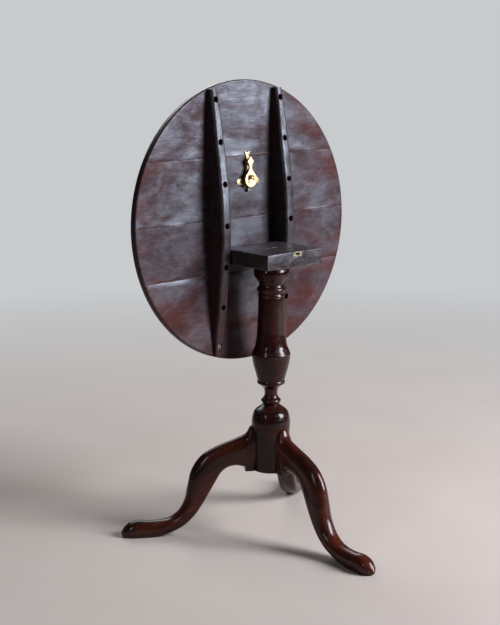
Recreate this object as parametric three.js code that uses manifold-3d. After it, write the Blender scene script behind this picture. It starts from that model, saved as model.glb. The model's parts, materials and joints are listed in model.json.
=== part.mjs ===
// Tilt top table: a round board top on two battens, hinged on a square block that caps
// a turned column with three cabriole legs. Millimetres, +Z up, top tipped up.
import * as THREE from "three";
import { mergeVertices } from "three/addons/utils/BufferGeometryUtils.js";
import { LoftGeometry } from "three/addons/geometries/LoftGeometry.js";
import Module from "manifold-3d";

// ---------------------------------------------------------------- driving sizes
const seatGap = 0.3; // clearance between two pieces that touch
const runningGap = 0.3; // radial clearance of a pin, tenon or screw in its hole
const toolPast = 1; // how far a cutting tool runs past the face it enters
const holePast = 1; // how much deeper a hole is than the screw or nail in it

const blockTopHeight = 680; // floor to the seat of the closed top
const blockThickness = 34;
const blockWidth = 169; // between the battens
const blockFront = 78; // column axis to the front face
const pivotSetback = 66.6; // column axis to the hinge axis

const topRadius = 324;
const topThickness = 18;
const topEdgeRound = 4; // rounding of the rim's two edges
const topCentreAbovePivot = 71; // along the tipped top
const tippedLean = THREE.MathUtils.degToRad(1.83); // past upright, away from the block
const boardJoints = [152, 10, -114]; // glue lines, from the top's centre
const boardJointGap = 0.3;

const battenWidth = 27;
const battenShoulderWidth = 25.8;
const battenEndWidth = 19; // the battens taper towards both ends
const battenPlanStations = [1, 0.6, 0.25, -0.25, -0.6, -1]; // shares of the half length
const battenSideGap = 1.4; // block end to batten
const battenEndMargin = 20; // rim of the top to the end of a batten
const battenDepths = [15, 25, 31, 39, 46.5, 47, 41, 33, 24, 14, 7]; // upper end to lower end
const battenStations = [1, 0.8, 0.62, 0.4, 0.14, -0.07, -0.28, -0.48, -0.67, -0.85, -1];

const pivotPinRadius = 7;
const pivotPinInBlock = 22;
const pivotPinInBatten = 19;

const battenScrewCount = 7; // in each batten
const battenScrewEndMargin = 22; // end of the batten to its last screw
const screwHeadRadius = 5.4;
const screwHeadHeight = 3.2;
const screwShankRadius = 2.4;
const screwInTop = 10; // shank length in the boards
const woodUnderHead = 5.5; // left under each counterbore, the same for every screw
const counterboreRadius = 6.5;

const tenonRadius = 23;
const wedgeThickness = 3;
const wedgeDepth = 26;
const wedgeLength = 38;

const hubRadius = 44;
const hubBottom = 154.5;
const hubTop = 250;
const legDirections = { leg_front: -94, leg_right: 34, leg_left: 145 }; // degrees from +X
const legRootWidth = 40;
const legRootShoulder = 19; // length of the stepped root beyond the hub
const legRootHeight = 45;
const legRootLap = 8; // root stock inside the hub's outline, cut back to it
const dovetailDepth = 14;
const dovetailInnerWidth = 24;
const dovetailOuterWidth = 17;
const dovetailHeight = 88;
const dovetailLap = 4; // tongue stock inside the leg

const bracketThickness = 2.5;
const bracketHubRadius = 30;
const bracketArmWidth = 20;
const bracketArmReach = 14; // beyond the hub
const bracketNailRadius = 1.8;
const bracketNailLength = 14;
const bracketNailHead = 4;
const bracketNailCrown = 2.2; // height of the domed head
const bracketNailMargin = 7.5; // edge of the bracket to a nail

const catchOffset = 7; // right of the middle of the top
const catchPlateThickness = 1.6;
const catchEarSpan = 69;
const catchEarRadius = 7;
const catchEarAbovePivot = 163;
const boltWidth = 10;
const boltThickness = 3.2;
const boltLift = 3.6; // underside of the top to the bolt
const boltLength = 35;
const boltEngagement = 5.6; // how far the bolt enters the keeper
const boltTravel = 7;
const caseWall = 1.1;
const caseLength = 34.5;
const leverThickness = 4.5;
const leverBowlRadius = 18.5;
const leverBowlAbovePivot = 167;
const leverNeckHalf = 4.2;
const leverNeckAbovePivot = 194;
const leverFlareHalf = 10.5;
const leverFlareAbovePivot = 208;
const leverTipAbovePivot = 220;
const leverDishRadius = 11;
const leverDishDepth = 3;
const catchTopScrewRise = 6.5; // tip of the lever to the fishtail's screw
const catchFinialRise = 12; // tip of the lever to the top of the fishtail
const studAbovePivot = 171;
const studRadius = 2;
const studBallRadius = 4.3;
const springThickness = 0.5;
const springWidth = 3;

const keeperWidth = 26;
const keeperHeight = 11;
const keeperThickness = 1.5;
const keeperSlotClearance = 1; // around the bolt
const pocketPastBolt = 3; // depth of the pocket beyond the bolt's nose
const smallScrewRadius = 1.3;
const smallScrewHead = 2.6;
const smallScrewLength = 9;

// ---------------------------------------------------------------- derived places
const blockBottomHeight = blockTopHeight - blockThickness;
const pivotHeight = blockTopHeight - blockThickness / 2;
const underside = blockThickness / 2 + seatGap; // hinge axis to the underside of the top
const battenInner = blockWidth / 2 + battenSideGap;
const battenHalfLength = topRadius - battenEndMargin;
const battenSeat = underside - seatGap;

const wasm = await Module();
wasm.setup();

// ---------------------------------------------------------------- small tools
function solidOf(geometry) {
  const bare = new THREE.BufferGeometry().copy(geometry);
  bare.deleteAttribute("normal");
  bare.deleteAttribute("uv");
  const merged = mergeVertices(bare, 1e-4);
  const kept = [];
  const index = merged.index.array;
  for (let i = 0; i < index.length; i += 3) {
    const [a, b, c] = index.slice(i, i + 3);
    if (a !== b && b !== c && a !== c) kept.push(a, b, c);
  }
  return new wasm.Manifold(
    new wasm.Mesh({
      numProp: 3,
      vertProperties: merged.attributes.position.array,
      triVerts: new Uint32Array(kept),
    }),
  );
}

function geometryOf(solid) {
  const mesh = solid.getMesh();
  const geometry = new THREE.BufferGeometry();
  geometry.setAttribute("position", new THREE.BufferAttribute(mesh.vertProperties, 3));
  geometry.setIndex(new THREE.BufferAttribute(mesh.triVerts, 1));
  geometry.computeVertexNormals();
  return geometry;
}

function cut(geometry, ...tools) {
  let solid = solidOf(geometry);
  for (const tool of tools) solid = solid.subtract(solidOf(tool));
  return geometryOf(solid);
}

function join(geometry, ...others) {
  let solid = solidOf(geometry);
  for (const other of others) solid = solid.add(solidOf(other));
  return geometryOf(solid);
}

function common(geometry, other) {
  return geometryOf(solidOf(geometry).intersect(solidOf(other)));
}

function box(sizeX, sizeY, sizeZ, x, y, z) {
  return new THREE.BoxGeometry(sizeX, sizeY, sizeZ).translate(x, y, z);
}

// A cylinder along X, Y or Z, centred at a point.
function rod(axis, radius, length, x, y, z, sides = 16) {
  const geometry = new THREE.CylinderGeometry(radius, radius, length, sides);
  if (axis === "x") geometry.rotateZ(Math.PI / 2);
  if (axis === "z") geometry.rotateX(Math.PI / 2);
  return geometry.translate(x, y, z);
}

// An outline in (y, z) given its thickness along X, centred on x.
function acrossX(shape, thickness, x, curveSegments = 8) {
  const geometry = new THREE.ExtrudeGeometry(shape, {
    depth: thickness,
    bevelEnabled: false,
    curveSegments,
  });
  const axes = new THREE.Matrix4().makeBasis(
    new THREE.Vector3(0, 1, 0),
    new THREE.Vector3(0, 0, 1),
    new THREE.Vector3(1, 0, 0),
  );
  return geometry.applyMatrix4(axes).translate(x - thickness / 2, 0, 0);
}

// An outline in (x, z) raised from the underside of the top, between two heights.
function offUnderside(shape, low, high, curveSegments = 10) {
  const geometry = new THREE.ExtrudeGeometry(shape, {
    depth: high - low,
    bevelEnabled: false,
    curveSegments,
  });
  const axes = new THREE.Matrix4().makeBasis(
    new THREE.Vector3(1, 0, 0),
    new THREE.Vector3(0, 0, 1),
    new THREE.Vector3(0, -1, 0),
  );
  return geometry.applyMatrix4(axes).translate(0, underside - low, 0);
}

// A turned piece from a profile of (radius, height) points.
function turned(points, sides) {
  return new THREE.LatheGeometry(points, sides).rotateX(Math.PI / 2);
}

function profile(...pairs) {
  return pairs.map(([radius, height]) => new THREE.Vector2(radius, height));
}

// A countersunk screw standing on its point, head face at height 0.
function screwGeometry(headRadius, headHeight, shankRadius, length, sides = 10) {
  const outline = profile(
    [0, -length],
    [shankRadius, -length + shankRadius],
    [shankRadius, -headHeight],
    [headRadius, -headHeight * 0.25],
    [headRadius, 0],
    [0, 0],
  );
  return turned(outline, sides);
}

function matte(color, roughness, metalness = 0) {
  return new THREE.MeshStandardMaterial({ color, roughness, metalness });
}

function place(group, name, geometry, material) {
  const mesh = new THREE.Mesh(geometry, material);
  mesh.name = name;
  group.add(mesh);
  return mesh;
}

const polishedMahogany = matte(0x3c120a, 0.22);
const dryUnderside = matte(0x5b4347, 0.75);
const battenWood = matte(0x3a2a2c, 0.6);
const blockWood = matte(0x4a3c42, 0.5);
const pinWood = matte(0x4a3020, 0.6);
const castBrass = matte(0xd8b878, 0.3, 1);
const agedIron = matte(0x2b2624, 0.6, 0.9);

const table = new THREE.Group();
const stand = new THREE.Group();
table.add(stand);

// ---------------------------------------------------------------- turned column
function columnOutline(growth) {
  const outline = new THREE.Path();
  const capBottom = blockBottomHeight - seatGap;
  const at = (radius, aboveHub) => new THREE.Vector2(radius + growth, hubTop + aboveHub);
  const under = (radius, belowCap) => new THREE.Vector2(radius + growth, capBottom - belowCap);
  const line = (point) => outline.lineTo(point.x, point.y);
  outline.moveTo(0, hubBottom - growth);
  outline.lineTo(hubRadius + growth, hubBottom - growth);
  line(at(hubRadius, 0));
  outline.splineThru([
    at(hubRadius + 1.3, 15),
    at(hubRadius + 0.7, 27),
    at(hubRadius - 3.3, 42),
    at(35, 49.5),
    at(25, 57),
    at(18, 62),
  ]);
  outline.splineThru([at(23.3, 71), at(17, 79)]); // small ring on the neck
  outline.splineThru([at(15.2, 85), at(15.6, 95), at(19.8, 103.5), at(32.3, 113)]);
  line(at(32.5, 118));
  line(at(31.4, 120));
  outline.splineThru([at(35.5, 135), at(41, 155), at(44.3, 173), at(44.9, 184)]); // vase
  outline.splineThru([at(41.4, 192.5), at(37.3, 203), at(33.3, 228)]);
  line(at(32.2, 255));
  line(under(30.2, 78));
  outline.splineThru([under(31.8, 74), under(30.3, 70)]); // bead under the neck
  outline.splineThru([under(34, 60), under(30.8, 54)]); // collar
  outline.splineThru([under(29, 46), under(33.5, 38.5), under(39.2, 31)]);
  line(under(40.6, 24));
  line(under(40.6, 0));
  outline.lineTo(tenonRadius + growth, capBottom);
  outline.lineTo(tenonRadius + growth, blockTopHeight - seatGap);
  outline.lineTo(0, blockTopHeight - seatGap);
  return outline.getPoints(2);
}

const legAngles = Object.values(legDirections).map(THREE.MathUtils.degToRad);

// Sliding dovetail, standing from the foot of the hub up; grown, it is the socket.
function dovetail(growth) {
  const outline = new THREE.Shape();
  const inner = hubRadius - dovetailDepth - growth;
  const outer = hubRadius + dovetailLap;
  outline.moveTo(inner, -dovetailInnerWidth / 2 - growth);
  outline.lineTo(outer, -dovetailOuterWidth / 2 - growth);
  outline.lineTo(outer, dovetailOuterWidth / 2 + growth);
  outline.lineTo(inner, dovetailInnerWidth / 2 + growth);
  outline.closePath();
  const foot = growth ? toolPast : 0; // the socket is open at the foot of the hub
  const geometry = new THREE.ExtrudeGeometry(outline, {
    depth: dovetailHeight + growth + foot,
    bevelEnabled: false,
  });
  return geometry.translate(0, 0, hubBottom - foot);
}

const sockets = legAngles.map((angle) => dovetail(runningGap).rotateZ(angle));
const kerfDepth = wedgeDepth + 2 * seatGap; // below the block's top
const kerf = box(
  wedgeLength + 2 * runningGap,
  wedgeThickness + 2 * runningGap,
  kerfDepth + toolPast,
  0,
  0,
  blockTopHeight + (toolPast - kerfDepth) / 2,
);
const bracketUnder = hubBottom - seatGap; // top face of the iron bracket
const nailHoleDepth = bracketNailLength + holePast;

const bracketNailReaches = [
  bracketHubRadius - bracketNailMargin,
  hubRadius + bracketArmReach - bracketNailMargin,
];

// Places of the bracket's nails: one in the middle, two out along each arm.
function bracketNailPlaces() {
  const places = [[0, 0]];
  for (const angle of legAngles) {
    for (const reach of bracketNailReaches) {
      places.push([reach * Math.cos(angle), reach * Math.sin(angle)]);
    }
  }
  return places;
}

function nailHole(x, y, growth = runningGap) {
  const low = bracketUnder - bracketThickness - toolPast;
  const length = nailHoleDepth + bracketThickness + 2 * toolPast;
  return rod("z", bracketNailRadius + growth, length, x, y, low + length / 2, 8);
}

const nailHoles = bracketNailPlaces().map(([x, y]) => nailHole(x, y));
const columnSolid = turned(columnOutline(0), 32);
place(stand, "column", cut(columnSolid, ...sockets, kerf, ...nailHoles), polishedMahogany);

const wedgeOutline = new THREE.Shape();
wedgeOutline.moveTo(-wedgeThickness / 2, 0);
wedgeOutline.lineTo(wedgeThickness / 2, 0);
wedgeOutline.lineTo(wedgeThickness / 4, -wedgeDepth);
wedgeOutline.lineTo(-wedgeThickness / 4, -wedgeDepth);
wedgeOutline.closePath();
const wedge = acrossX(wedgeOutline, wedgeLength, 0).translate(0, 0, blockTopHeight - seatGap);
place(stand, "tenon_wedge", wedge, pinWood);

// ---------------------------------------------------------------- cabriole legs
// Each station joins a point of the upper outline to one of the lower outline, both as
// [beyond the hub, height], with the half width of the leg there.
const legStations = [
  [[-8, 266], [-8, 158], 20],
  [[5, 259], [8, 160], 20],
  [[14, 243.5], [22, 163], 20],
  [[39, 231], [40, 166.5], 20],
  [[84, 213.5], [60, 162.5], 20],
  [[122, 190.5], [75, 150], 20.5],
  [[145, 156.5], [87.5, 129.5], 21.5],
  [[154, 120], [102, 104], 22.5],
  [[161, 87], [119, 75.5], 22.5],
  [[176, 59], [138.5, 48], 22],
  [[196, 43], [163, 25], 21.5],
  [[218, 38], [194.5, 8], 20.5],
  [[246, 37], [230, -2], 20.5],
  [[274, 38.5], [268, -4], 21],
  [[293, 33], [288, -4], 18.5],
  [[305, 21.5], [301, -2], 12.5],
  [[311.5, 11], [309.5, 4], 3],
];

function legSections(ringPoints, between) {
  const upper = [];
  const lower = [];
  const half = [];
  for (const [top, bottom, width] of legStations) {
    upper.push(new THREE.Vector3(hubRadius + top[0], 0, top[1]));
    lower.push(new THREE.Vector3(hubRadius + bottom[0], 0, bottom[1]));
    half.push(new THREE.Vector3(width, 0, 0));
  }
  const curves = [upper, lower, half].map((points) => new THREE.CatmullRomCurve3(points));
  const steps = (legStations.length - 1) * between;
  const sections = [];
  for (let i = 0; i <= steps; i += 1) {
    const [high, low, width] = curves.map((curve) => curve.getPoint(i / steps));
    const middle = high.clone().add(low).multiplyScalar(0.5);
    const rise = high.clone().sub(low).multiplyScalar(0.5);
    const ring = [];
    for (let j = 0; j < ringPoints; j += 1) {
      const angle = (2 * Math.PI * j) / ringPoints;
      const squareness = Math.sin(angle) > 0 ? 2 : 3.4; // round above, flatter below
      const swell = (value) => Math.sign(value) * Math.abs(value) ** (2 / squareness);
      const point = middle.clone().addScaledVector(rise, swell(Math.sin(angle)));
      point.y = width.x * swell(Math.cos(angle));
      ring.push(point);
    }
    sections.push(ring);
  }
  return sections;
}

const floorCut = box(900, 200, 60, 300, 0, -30); // levels the sole at height 0
const legLoft = new LoftGeometry(legSections(14, 2), { capStart: true, capEnd: true });
const legRoot = box(
  legRootShoulder + legRootLap,
  legRootWidth,
  legRootHeight,
  hubRadius + (legRootShoulder - legRootLap) / 2,
  0,
  hubBottom + legRootHeight / 2,
);
const columnRoom = turned(columnOutline(runningGap), 32);
Object.keys(legDirections).forEach((name, i) => {
  const angle = legAngles[i];
  const body = join(legLoft, legRoot).rotateZ(angle);
  const fitted = cut(body, columnRoom, floorCut.clone().rotateZ(angle));
  const tongued = join(fitted, dovetail(0).rotateZ(angle));
  place(stand, name, cut(tongued, ...nailHoles), polishedMahogany);
});

// ---------------------------------------------------------------- iron bracket
const bracketPlates = legAngles.map((angle) => {
  const reach = hubRadius + bracketArmReach;
  const arm = new THREE.Shape();
  arm.moveTo(0, -bracketArmWidth / 2);
  arm.lineTo(reach - bracketArmWidth / 2, -bracketArmWidth / 2);
  arm.absarc(reach - bracketArmWidth / 2, 0, bracketArmWidth / 2, -Math.PI / 2, Math.PI / 2);
  arm.lineTo(0, bracketArmWidth / 2);
  arm.closePath();
  const plate = new THREE.ExtrudeGeometry(arm, {
    depth: bracketThickness,
    bevelEnabled: false,
    curveSegments: 6,
  });
  return plate.translate(0, 0, bracketUnder - bracketThickness).rotateZ(angle);
});
const bracketDisc = rod(
  "z",
  bracketHubRadius,
  bracketThickness,
  0,
  0,
  bracketUnder - bracketThickness / 2,
  24,
);
const bracket = cut(join(bracketDisc, ...bracketPlates), ...nailHoles);
place(stand, "leg_bracket", bracket, agedIron);
bracketNailPlaces().forEach(([x, y], i) => {
  const outline = profile(
    [0, -bracketNailLength],
    [bracketNailRadius, -bracketNailLength + 2],
    [bracketNailRadius, seatGap],
    [bracketNailHead, seatGap],
    [bracketNailHead * 0.6, bracketNailCrown * 0.8],
    [0, bracketNailCrown],
  );
  const nail = turned(outline, 8).rotateX(Math.PI);
  nail.translate(x, y, bracketUnder - bracketThickness);
  place(stand, "bracket_nail_" + (i + 1), nail, agedIron);
});

// ---------------------------------------------------------------- hinge block
// Side outline: the upper back edge is rounded on the hinge axis, and the back face is
// planed to the lean of the tipped top, which stops against it.
const blockOutline = new THREE.Shape();
const backRadius = blockThickness / 2;
blockOutline.moveTo(-blockFront, blockBottomHeight);
blockOutline.lineTo(
  pivotSetback + backRadius * Math.cos(tippedLean) - backRadius * Math.sin(tippedLean),
  blockBottomHeight,
);
blockOutline.absarc(pivotSetback, pivotHeight, backRadius, -tippedLean, Math.PI / 2, false);
blockOutline.lineTo(-blockFront, blockTopHeight);
blockOutline.closePath();

const pivotPinLength = pivotPinInBlock + battenSideGap + pivotPinInBatten;
const pivotPinStart = blockWidth / 2 - pivotPinInBlock;
const pinHoles = [-1, 1].map((side) =>
  rod(
    "x",
    pivotPinRadius + runningGap,
    pivotPinInBlock + runningGap + toolPast,
    side * (pivotPinStart + (pivotPinInBlock + toolPast - runningGap) / 2),
    pivotSetback,
    pivotHeight,
    24,
  ),
);
const tenonHole = rod(
  "z",
  tenonRadius + runningGap,
  blockThickness + 2 * toolPast,
  0,
  0,
  blockTopHeight - blockThickness / 2,
  36,
);

// Keeper let into the front face, with a pocket behind it for the bolt.
const boltCentreDrop = boltLift + boltThickness / 2 - seatGap; // below the block's top
const slotWidth = boltWidth + 2 * keeperSlotClearance;
const slotHeight = boltThickness + 2 * keeperSlotClearance;
const keeperTop = blockTopHeight - seatGap;
const keeperMiddle = keeperTop - keeperHeight / 2;
const slotMiddle = blockTopHeight - boltCentreDrop;
const keeperRecess = box(
  keeperWidth + 2 * seatGap,
  keeperThickness + seatGap + toolPast,
  keeperHeight + 2 * seatGap + toolPast,
  catchOffset,
  -blockFront + (keeperThickness + seatGap - toolPast) / 2,
  keeperMiddle + toolPast / 2,
);
const pocketDepth = boltEngagement + pocketPastBolt;
const boltPocket = box(
  slotWidth,
  pocketDepth + toolPast,
  slotHeight,
  catchOffset,
  -blockFront + (pocketDepth - toolPast) / 2,
  slotMiddle,
);
const keeperScrewOffset = (slotWidth / 2 + keeperWidth / 2) / 2;
const keeperScrewPlaces = [-1, 1].map((side) => catchOffset + side * keeperScrewOffset);
const keeperScrewHoles = keeperScrewPlaces.map((x) =>
  rod(
    "y",
    smallScrewRadius + runningGap,
    smallScrewLength + holePast + toolPast,
    x,
    -blockFront + (smallScrewLength + holePast - toolPast) / 2,
    slotMiddle,
    10,
  ),
);
const block = cut(
  acrossX(blockOutline, blockWidth, 0, 10),
  ...pinHoles,
  tenonHole,
  keeperRecess,
  boltPocket,
  ...keeperScrewHoles,
);
place(stand, "hinge_block", block, blockWood);

const keeperHeads = keeperScrewPlaces.map((x) =>
  rod(
    "y",
    smallScrewHead + runningGap,
    keeperThickness + 2 * toolPast,
    x,
    -blockFront + keeperThickness / 2,
    slotMiddle,
    12,
  ),
);
const keeper = cut(
  box(
    keeperWidth,
    keeperThickness,
    keeperHeight,
    catchOffset,
    -blockFront + keeperThickness / 2,
    keeperMiddle,
  ),
  box(slotWidth, 4 * keeperThickness, slotHeight, catchOffset, -blockFront, slotMiddle),
  ...keeperHeads,
);
place(stand, "keeper_plate", keeper, castBrass);
["keeper_screw_left", "keeper_screw_right"].forEach((name, i) => {
  const screw = screwGeometry(smallScrewHead, keeperThickness, smallScrewRadius, smallScrewLength);
  screw.rotateX(Math.PI / 2).translate(keeperScrewPlaces[i], -blockFront, slotMiddle);
  place(stand, name, screw, castBrass);
});

[-1, 1].forEach((side) => {
  const middle = side * (pivotPinStart + pivotPinLength / 2);
  const pin = rod("x", pivotPinRadius, pivotPinLength, middle, pivotSetback, pivotHeight, 20);
  place(stand, side < 0 ? "pivot_pin_left" : "pivot_pin_right", pin, pinWood);
});

// ---------------------------------------------------------------- tipping top
// In this group the hinge axis is the origin, +Z runs up the tipped top and the
// underside faces -Y.
const top = new THREE.Group();
top.position.set(0, pivotSetback, pivotHeight);
top.rotation.x = -tippedLean;
table.add(top);

function battenScrewHeights() {
  const last = battenHalfLength - battenScrewEndMargin;
  const step = (2 * last) / (battenScrewCount - 1);
  return Array.from(
    { length: battenScrewCount },
    (_, i) => topCentreAbovePivot + last - i * step,
  );
}

const battenMiddle = battenInner + battenWidth / 2;
const screwPlaces = [];
for (const side of [-1, 1]) {
  battenScrewHeights().forEach((height, i) => {
    screwPlaces.push({ side, number: i + 1, x: side * battenMiddle, z: height });
  });
}

const rim = new THREE.Path();
rim.moveTo(0, 0);
rim.lineTo(topRadius - topEdgeRound, 0);
rim.absarc(topRadius - topEdgeRound, topEdgeRound, topEdgeRound, -Math.PI / 2, 0, false);
rim.absarc(
  topRadius - topEdgeRound,
  topThickness - topEdgeRound,
  topEdgeRound,
  0,
  Math.PI / 2,
  false,
);
rim.lineTo(0, topThickness);
const wholeTop = new THREE.LatheGeometry(rim.getPoints(2), 72);
wholeTop.translate(0, underside, topCentreAbovePivot);
const shankHoles = screwPlaces.map(({ x, z }) =>
  rod(
    "y",
    screwShankRadius + runningGap,
    screwInTop + holePast + toolPast,
    x,
    underside + (screwInTop + holePast - toolPast) / 2,
    z,
    8,
  ),
);
const catchScrewHoleDepth = smallScrewLength + holePast;
const catchScrewPlaces = {
  catch_screw_left: [catchOffset - catchEarSpan / 2 + catchEarRadius, catchEarAbovePivot],
  catch_screw_right: [catchOffset + catchEarSpan / 2 - catchEarRadius, catchEarAbovePivot],
  catch_screw_top: [catchOffset, leverTipAbovePivot + catchTopScrewRise],
};
const catchScrewHoles = Object.values(catchScrewPlaces).map(([x, z]) =>
  rod(
    "y",
    smallScrewRadius + runningGap,
    catchScrewHoleDepth + toolPast,
    x,
    underside + (catchScrewHoleDepth - toolPast) / 2,
    z,
    8,
  ),
);
const drilledTop = cut(wholeTop, ...shankHoles, ...catchScrewHoles);
const edges = [topRadius + toolPast, ...boardJoints, -topRadius - toolPast];
for (let i = 0; i + 1 < edges.length; i += 1) {
  const upper = edges[i] - boardJointGap / 2;
  const lower = edges[i + 1] + boardJointGap / 2;
  const slab = box(
    2 * (topRadius + toolPast),
    topThickness + 2 * toolPast,
    upper - lower,
    0,
    underside + topThickness / 2,
    topCentreAbovePivot + (upper + lower) / 2,
  );
  place(top, "top_board_" + (i + 1), common(drilledTop, slab), dryUnderside);
}

// ---------------------------------------------------------------- battens
const battenOutline = new THREE.Shape();
const battenHeight = (share) => topCentreAbovePivot + share * battenHalfLength;
const bow = battenStations.map(
  (share, i) => new THREE.Vector2(battenSeat - battenDepths[i], battenHeight(share)),
);
battenOutline.moveTo(battenSeat, battenHeight(1));
battenOutline.lineTo(bow[0].x, bow[0].y);
battenOutline.splineThru(bow.slice(1));
battenOutline.lineTo(battenSeat, battenHeight(-1));
battenOutline.closePath();

const battenPlan = new THREE.Shape();
const halfPlanWidths = [battenEndWidth, battenShoulderWidth, battenWidth];
const battenPlanWidths = [...halfPlanWidths, ...halfPlanWidths.toReversed()];
const planSide = battenPlanStations.map((share, i) => {
  return new THREE.Vector2(battenPlanWidths[i] / 2, battenHeight(share));
});
const planOther = planSide.map((point) => new THREE.Vector2(-point.x, point.y)).reverse();
battenPlan.moveTo(planSide[0].x, planSide[0].y);
battenPlan.splineThru(planSide.slice(1));
battenPlan.lineTo(planOther[0].x, planOther[0].y);
battenPlan.splineThru(planOther.slice(1));
battenPlan.closePath();

const boreReach = 2 * Math.max(...battenDepths);
for (const side of [-1, 1]) {
  const name = side < 0 ? "left" : "right";
  const bowed = acrossX(battenOutline, battenWidth + 2 * toolPast, side * battenMiddle, 2);
  const plan = offUnderside(battenPlan, -toolPast, 2 * Math.max(...battenDepths), 2);
  const body = common(bowed, plan.translate(side * battenMiddle, 0, 0));
  const own = screwPlaces.filter((place) => place.side === side);
  const bores = own.flatMap(({ x, z }) => [
    rod("y", counterboreRadius, boreReach, x, battenSeat - woodUnderHead - boreReach / 2, z, 14),
    rod("y", screwShankRadius + runningGap, 4 * woodUnderHead, x, battenSeat - toolPast, z, 8),
  ]);
  const pivotHole = rod(
    "x",
    pivotPinRadius + runningGap,
    pivotPinInBatten + runningGap + toolPast,
    side * (battenInner + (pivotPinInBatten + runningGap - toolPast) / 2),
    0,
    0,
    24,
  );
  place(top, "batten_" + name, cut(body, ...bores, pivotHole), battenWood);
  for (const { number, x, z } of own) {
    const length = screwInTop + seatGap + woodUnderHead + screwHeadHeight;
    const screw = screwGeometry(screwHeadRadius, screwHeadHeight, screwShankRadius, length, 8);
    screw.rotateX(Math.PI / 2);
    screw.translate(x, battenSeat - woodUnderHead - screwHeadHeight - seatGap, z);
    place(top, "batten_screw_" + name + "_" + number, screw, agedIron);
  }
}

// ---------------------------------------------------------------- brass catch
const plateLow = seatGap;
const plateHigh = plateLow + catchPlateThickness;
const caseLow = plateHigh + seatGap;
const boltHigh = boltLift + boltThickness;
const channelGap = runningGap;
const caseHigh = boltHigh + channelGap + caseWall;
const leverLow = caseHigh + seatGap;
const leverHigh = leverLow + leverThickness;
const plateStemHalf = 10;
const plateBottom = leverBowlAbovePivot - leverBowlRadius - 2;
const finialTop = leverTipAbovePivot + catchFinialRise;

// Base plate: a stem with two screw ears and a fishtail at the top.
const plateOutline = new THREE.Shape();
const earReach = catchEarSpan / 2 - catchEarRadius;
plateOutline.moveTo(-plateStemHalf, plateBottom);
plateOutline.lineTo(plateStemHalf, plateBottom);
plateOutline.lineTo(plateStemHalf, catchEarAbovePivot - 9);
plateOutline.quadraticCurveTo(
  plateStemHalf + 3,
  catchEarAbovePivot - catchEarRadius,
  earReach,
  catchEarAbovePivot - catchEarRadius,
);
plateOutline.absarc(
  earReach,
  catchEarAbovePivot,
  catchEarRadius,
  -Math.PI / 2,
  Math.PI / 2,
  false,
);
plateOutline.quadraticCurveTo(
  plateStemHalf,
  catchEarAbovePivot + catchEarRadius,
  plateStemHalf - 2,
  catchEarAbovePivot + 22,
);
plateOutline.lineTo(4.5, finialTop - 14);
plateOutline.quadraticCurveTo(5, finialTop - 7, 10, finialTop);
plateOutline.quadraticCurveTo(4, finialTop - 1.5, 0, finialTop - 3);
plateOutline.quadraticCurveTo(-4, finialTop - 1.5, -10, finialTop);
plateOutline.quadraticCurveTo(-5, finialTop - 7, -4.5, finialTop - 14);
plateOutline.lineTo(-plateStemHalf + 2, catchEarAbovePivot + 22);
plateOutline.quadraticCurveTo(
  -plateStemHalf,
  catchEarAbovePivot + catchEarRadius,
  -earReach,
  catchEarAbovePivot + catchEarRadius,
);
plateOutline.absarc(
  -earReach,
  catchEarAbovePivot,
  catchEarRadius,
  Math.PI / 2,
  (3 * Math.PI) / 2,
  false,
);
plateOutline.quadraticCurveTo(
  -plateStemHalf - 3,
  catchEarAbovePivot - catchEarRadius,
  -plateStemHalf,
  catchEarAbovePivot - 9,
);
plateOutline.closePath();
const headHoles = Object.values(catchScrewPlaces).map(([x, z]) =>
  rod("y", smallScrewHead + runningGap, 12, x, underside, z, 12),
);
const plateBody = offUnderside(plateOutline, plateLow, plateHigh, 5).translate(catchOffset, 0, 0);
place(top, "catch_plate", cut(plateBody, ...headHoles), castBrass);
for (const [name, [x, z]] of Object.entries(catchScrewPlaces)) {
  const screw = screwGeometry(
    smallScrewHead,
    catchPlateThickness,
    smallScrewRadius,
    smallScrewLength,
  );
  screw.rotateX(Math.PI / 2).translate(x, underside - plateHigh, z);
  place(top, name, screw, castBrass);
}

// Case: a sleeve round the bolt, open at the nose, slotted for the stud.
const boltNose = blockFront + pivotSetback - boltEngagement;
const boltTail = boltNose + boltLength;
const caseStart = plateBottom + 4;
const caseEnd = caseStart + caseLength;
const channelEnd = caseEnd - caseWall;
const yAt = (low, high) => underside - (low + high) / 2;
const caseBody = box(
  boltWidth + 2 * (channelGap + caseWall),
  caseHigh - caseLow,
  caseLength,
  catchOffset,
  yAt(caseLow, caseHigh),
  (caseStart + caseEnd) / 2,
);
const channel = box(
  boltWidth + 2 * channelGap,
  boltThickness + 2 * channelGap,
  channelEnd - caseStart + 5,
  catchOffset,
  yAt(boltLift, boltHigh),
  (caseStart - 5 + channelEnd) / 2,
);
const studSlot = box(
  2 * (studRadius + runningGap),
  8,
  boltTravel + 2 * (studRadius + runningGap),
  catchOffset,
  yAt(boltHigh, boltHigh + 8),
  studAbovePivot + boltTravel / 2,
);
place(top, "catch_case", cut(caseBody, channel, studSlot), castBrass);

// Spring: a folded strip between the tail of the bolt and the end of the case.
const springRoom = channelEnd - boltTail - 2 * seatGap;
const springFolds = 4;
const springHalf = boltWidth / 2 - 1;
const foldRise = (springRoom - springThickness) / springFolds;
const springMiddle = boltLift + boltThickness / 2;
const springBars = Array.from({ length: springFolds }, (_, i) => {
  const side = i % 2 ? -1 : 1;
  const start = boltTail + seatGap + i * foldRise;
  const bar = new THREE.Shape();
  bar.moveTo(-side * springHalf, start);
  bar.lineTo(side * springHalf, start + foldRise);
  bar.lineTo(side * springHalf, start + foldRise + springThickness);
  bar.lineTo(-side * springHalf, start + springThickness);
  bar.closePath();
  const low = springMiddle - springWidth / 2;
  return offUnderside(bar, low, low + springWidth).translate(catchOffset, 0, 0);
});
const spring = join(...springBars);
place(top, "catch_spring", spring, agedIron);

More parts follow.
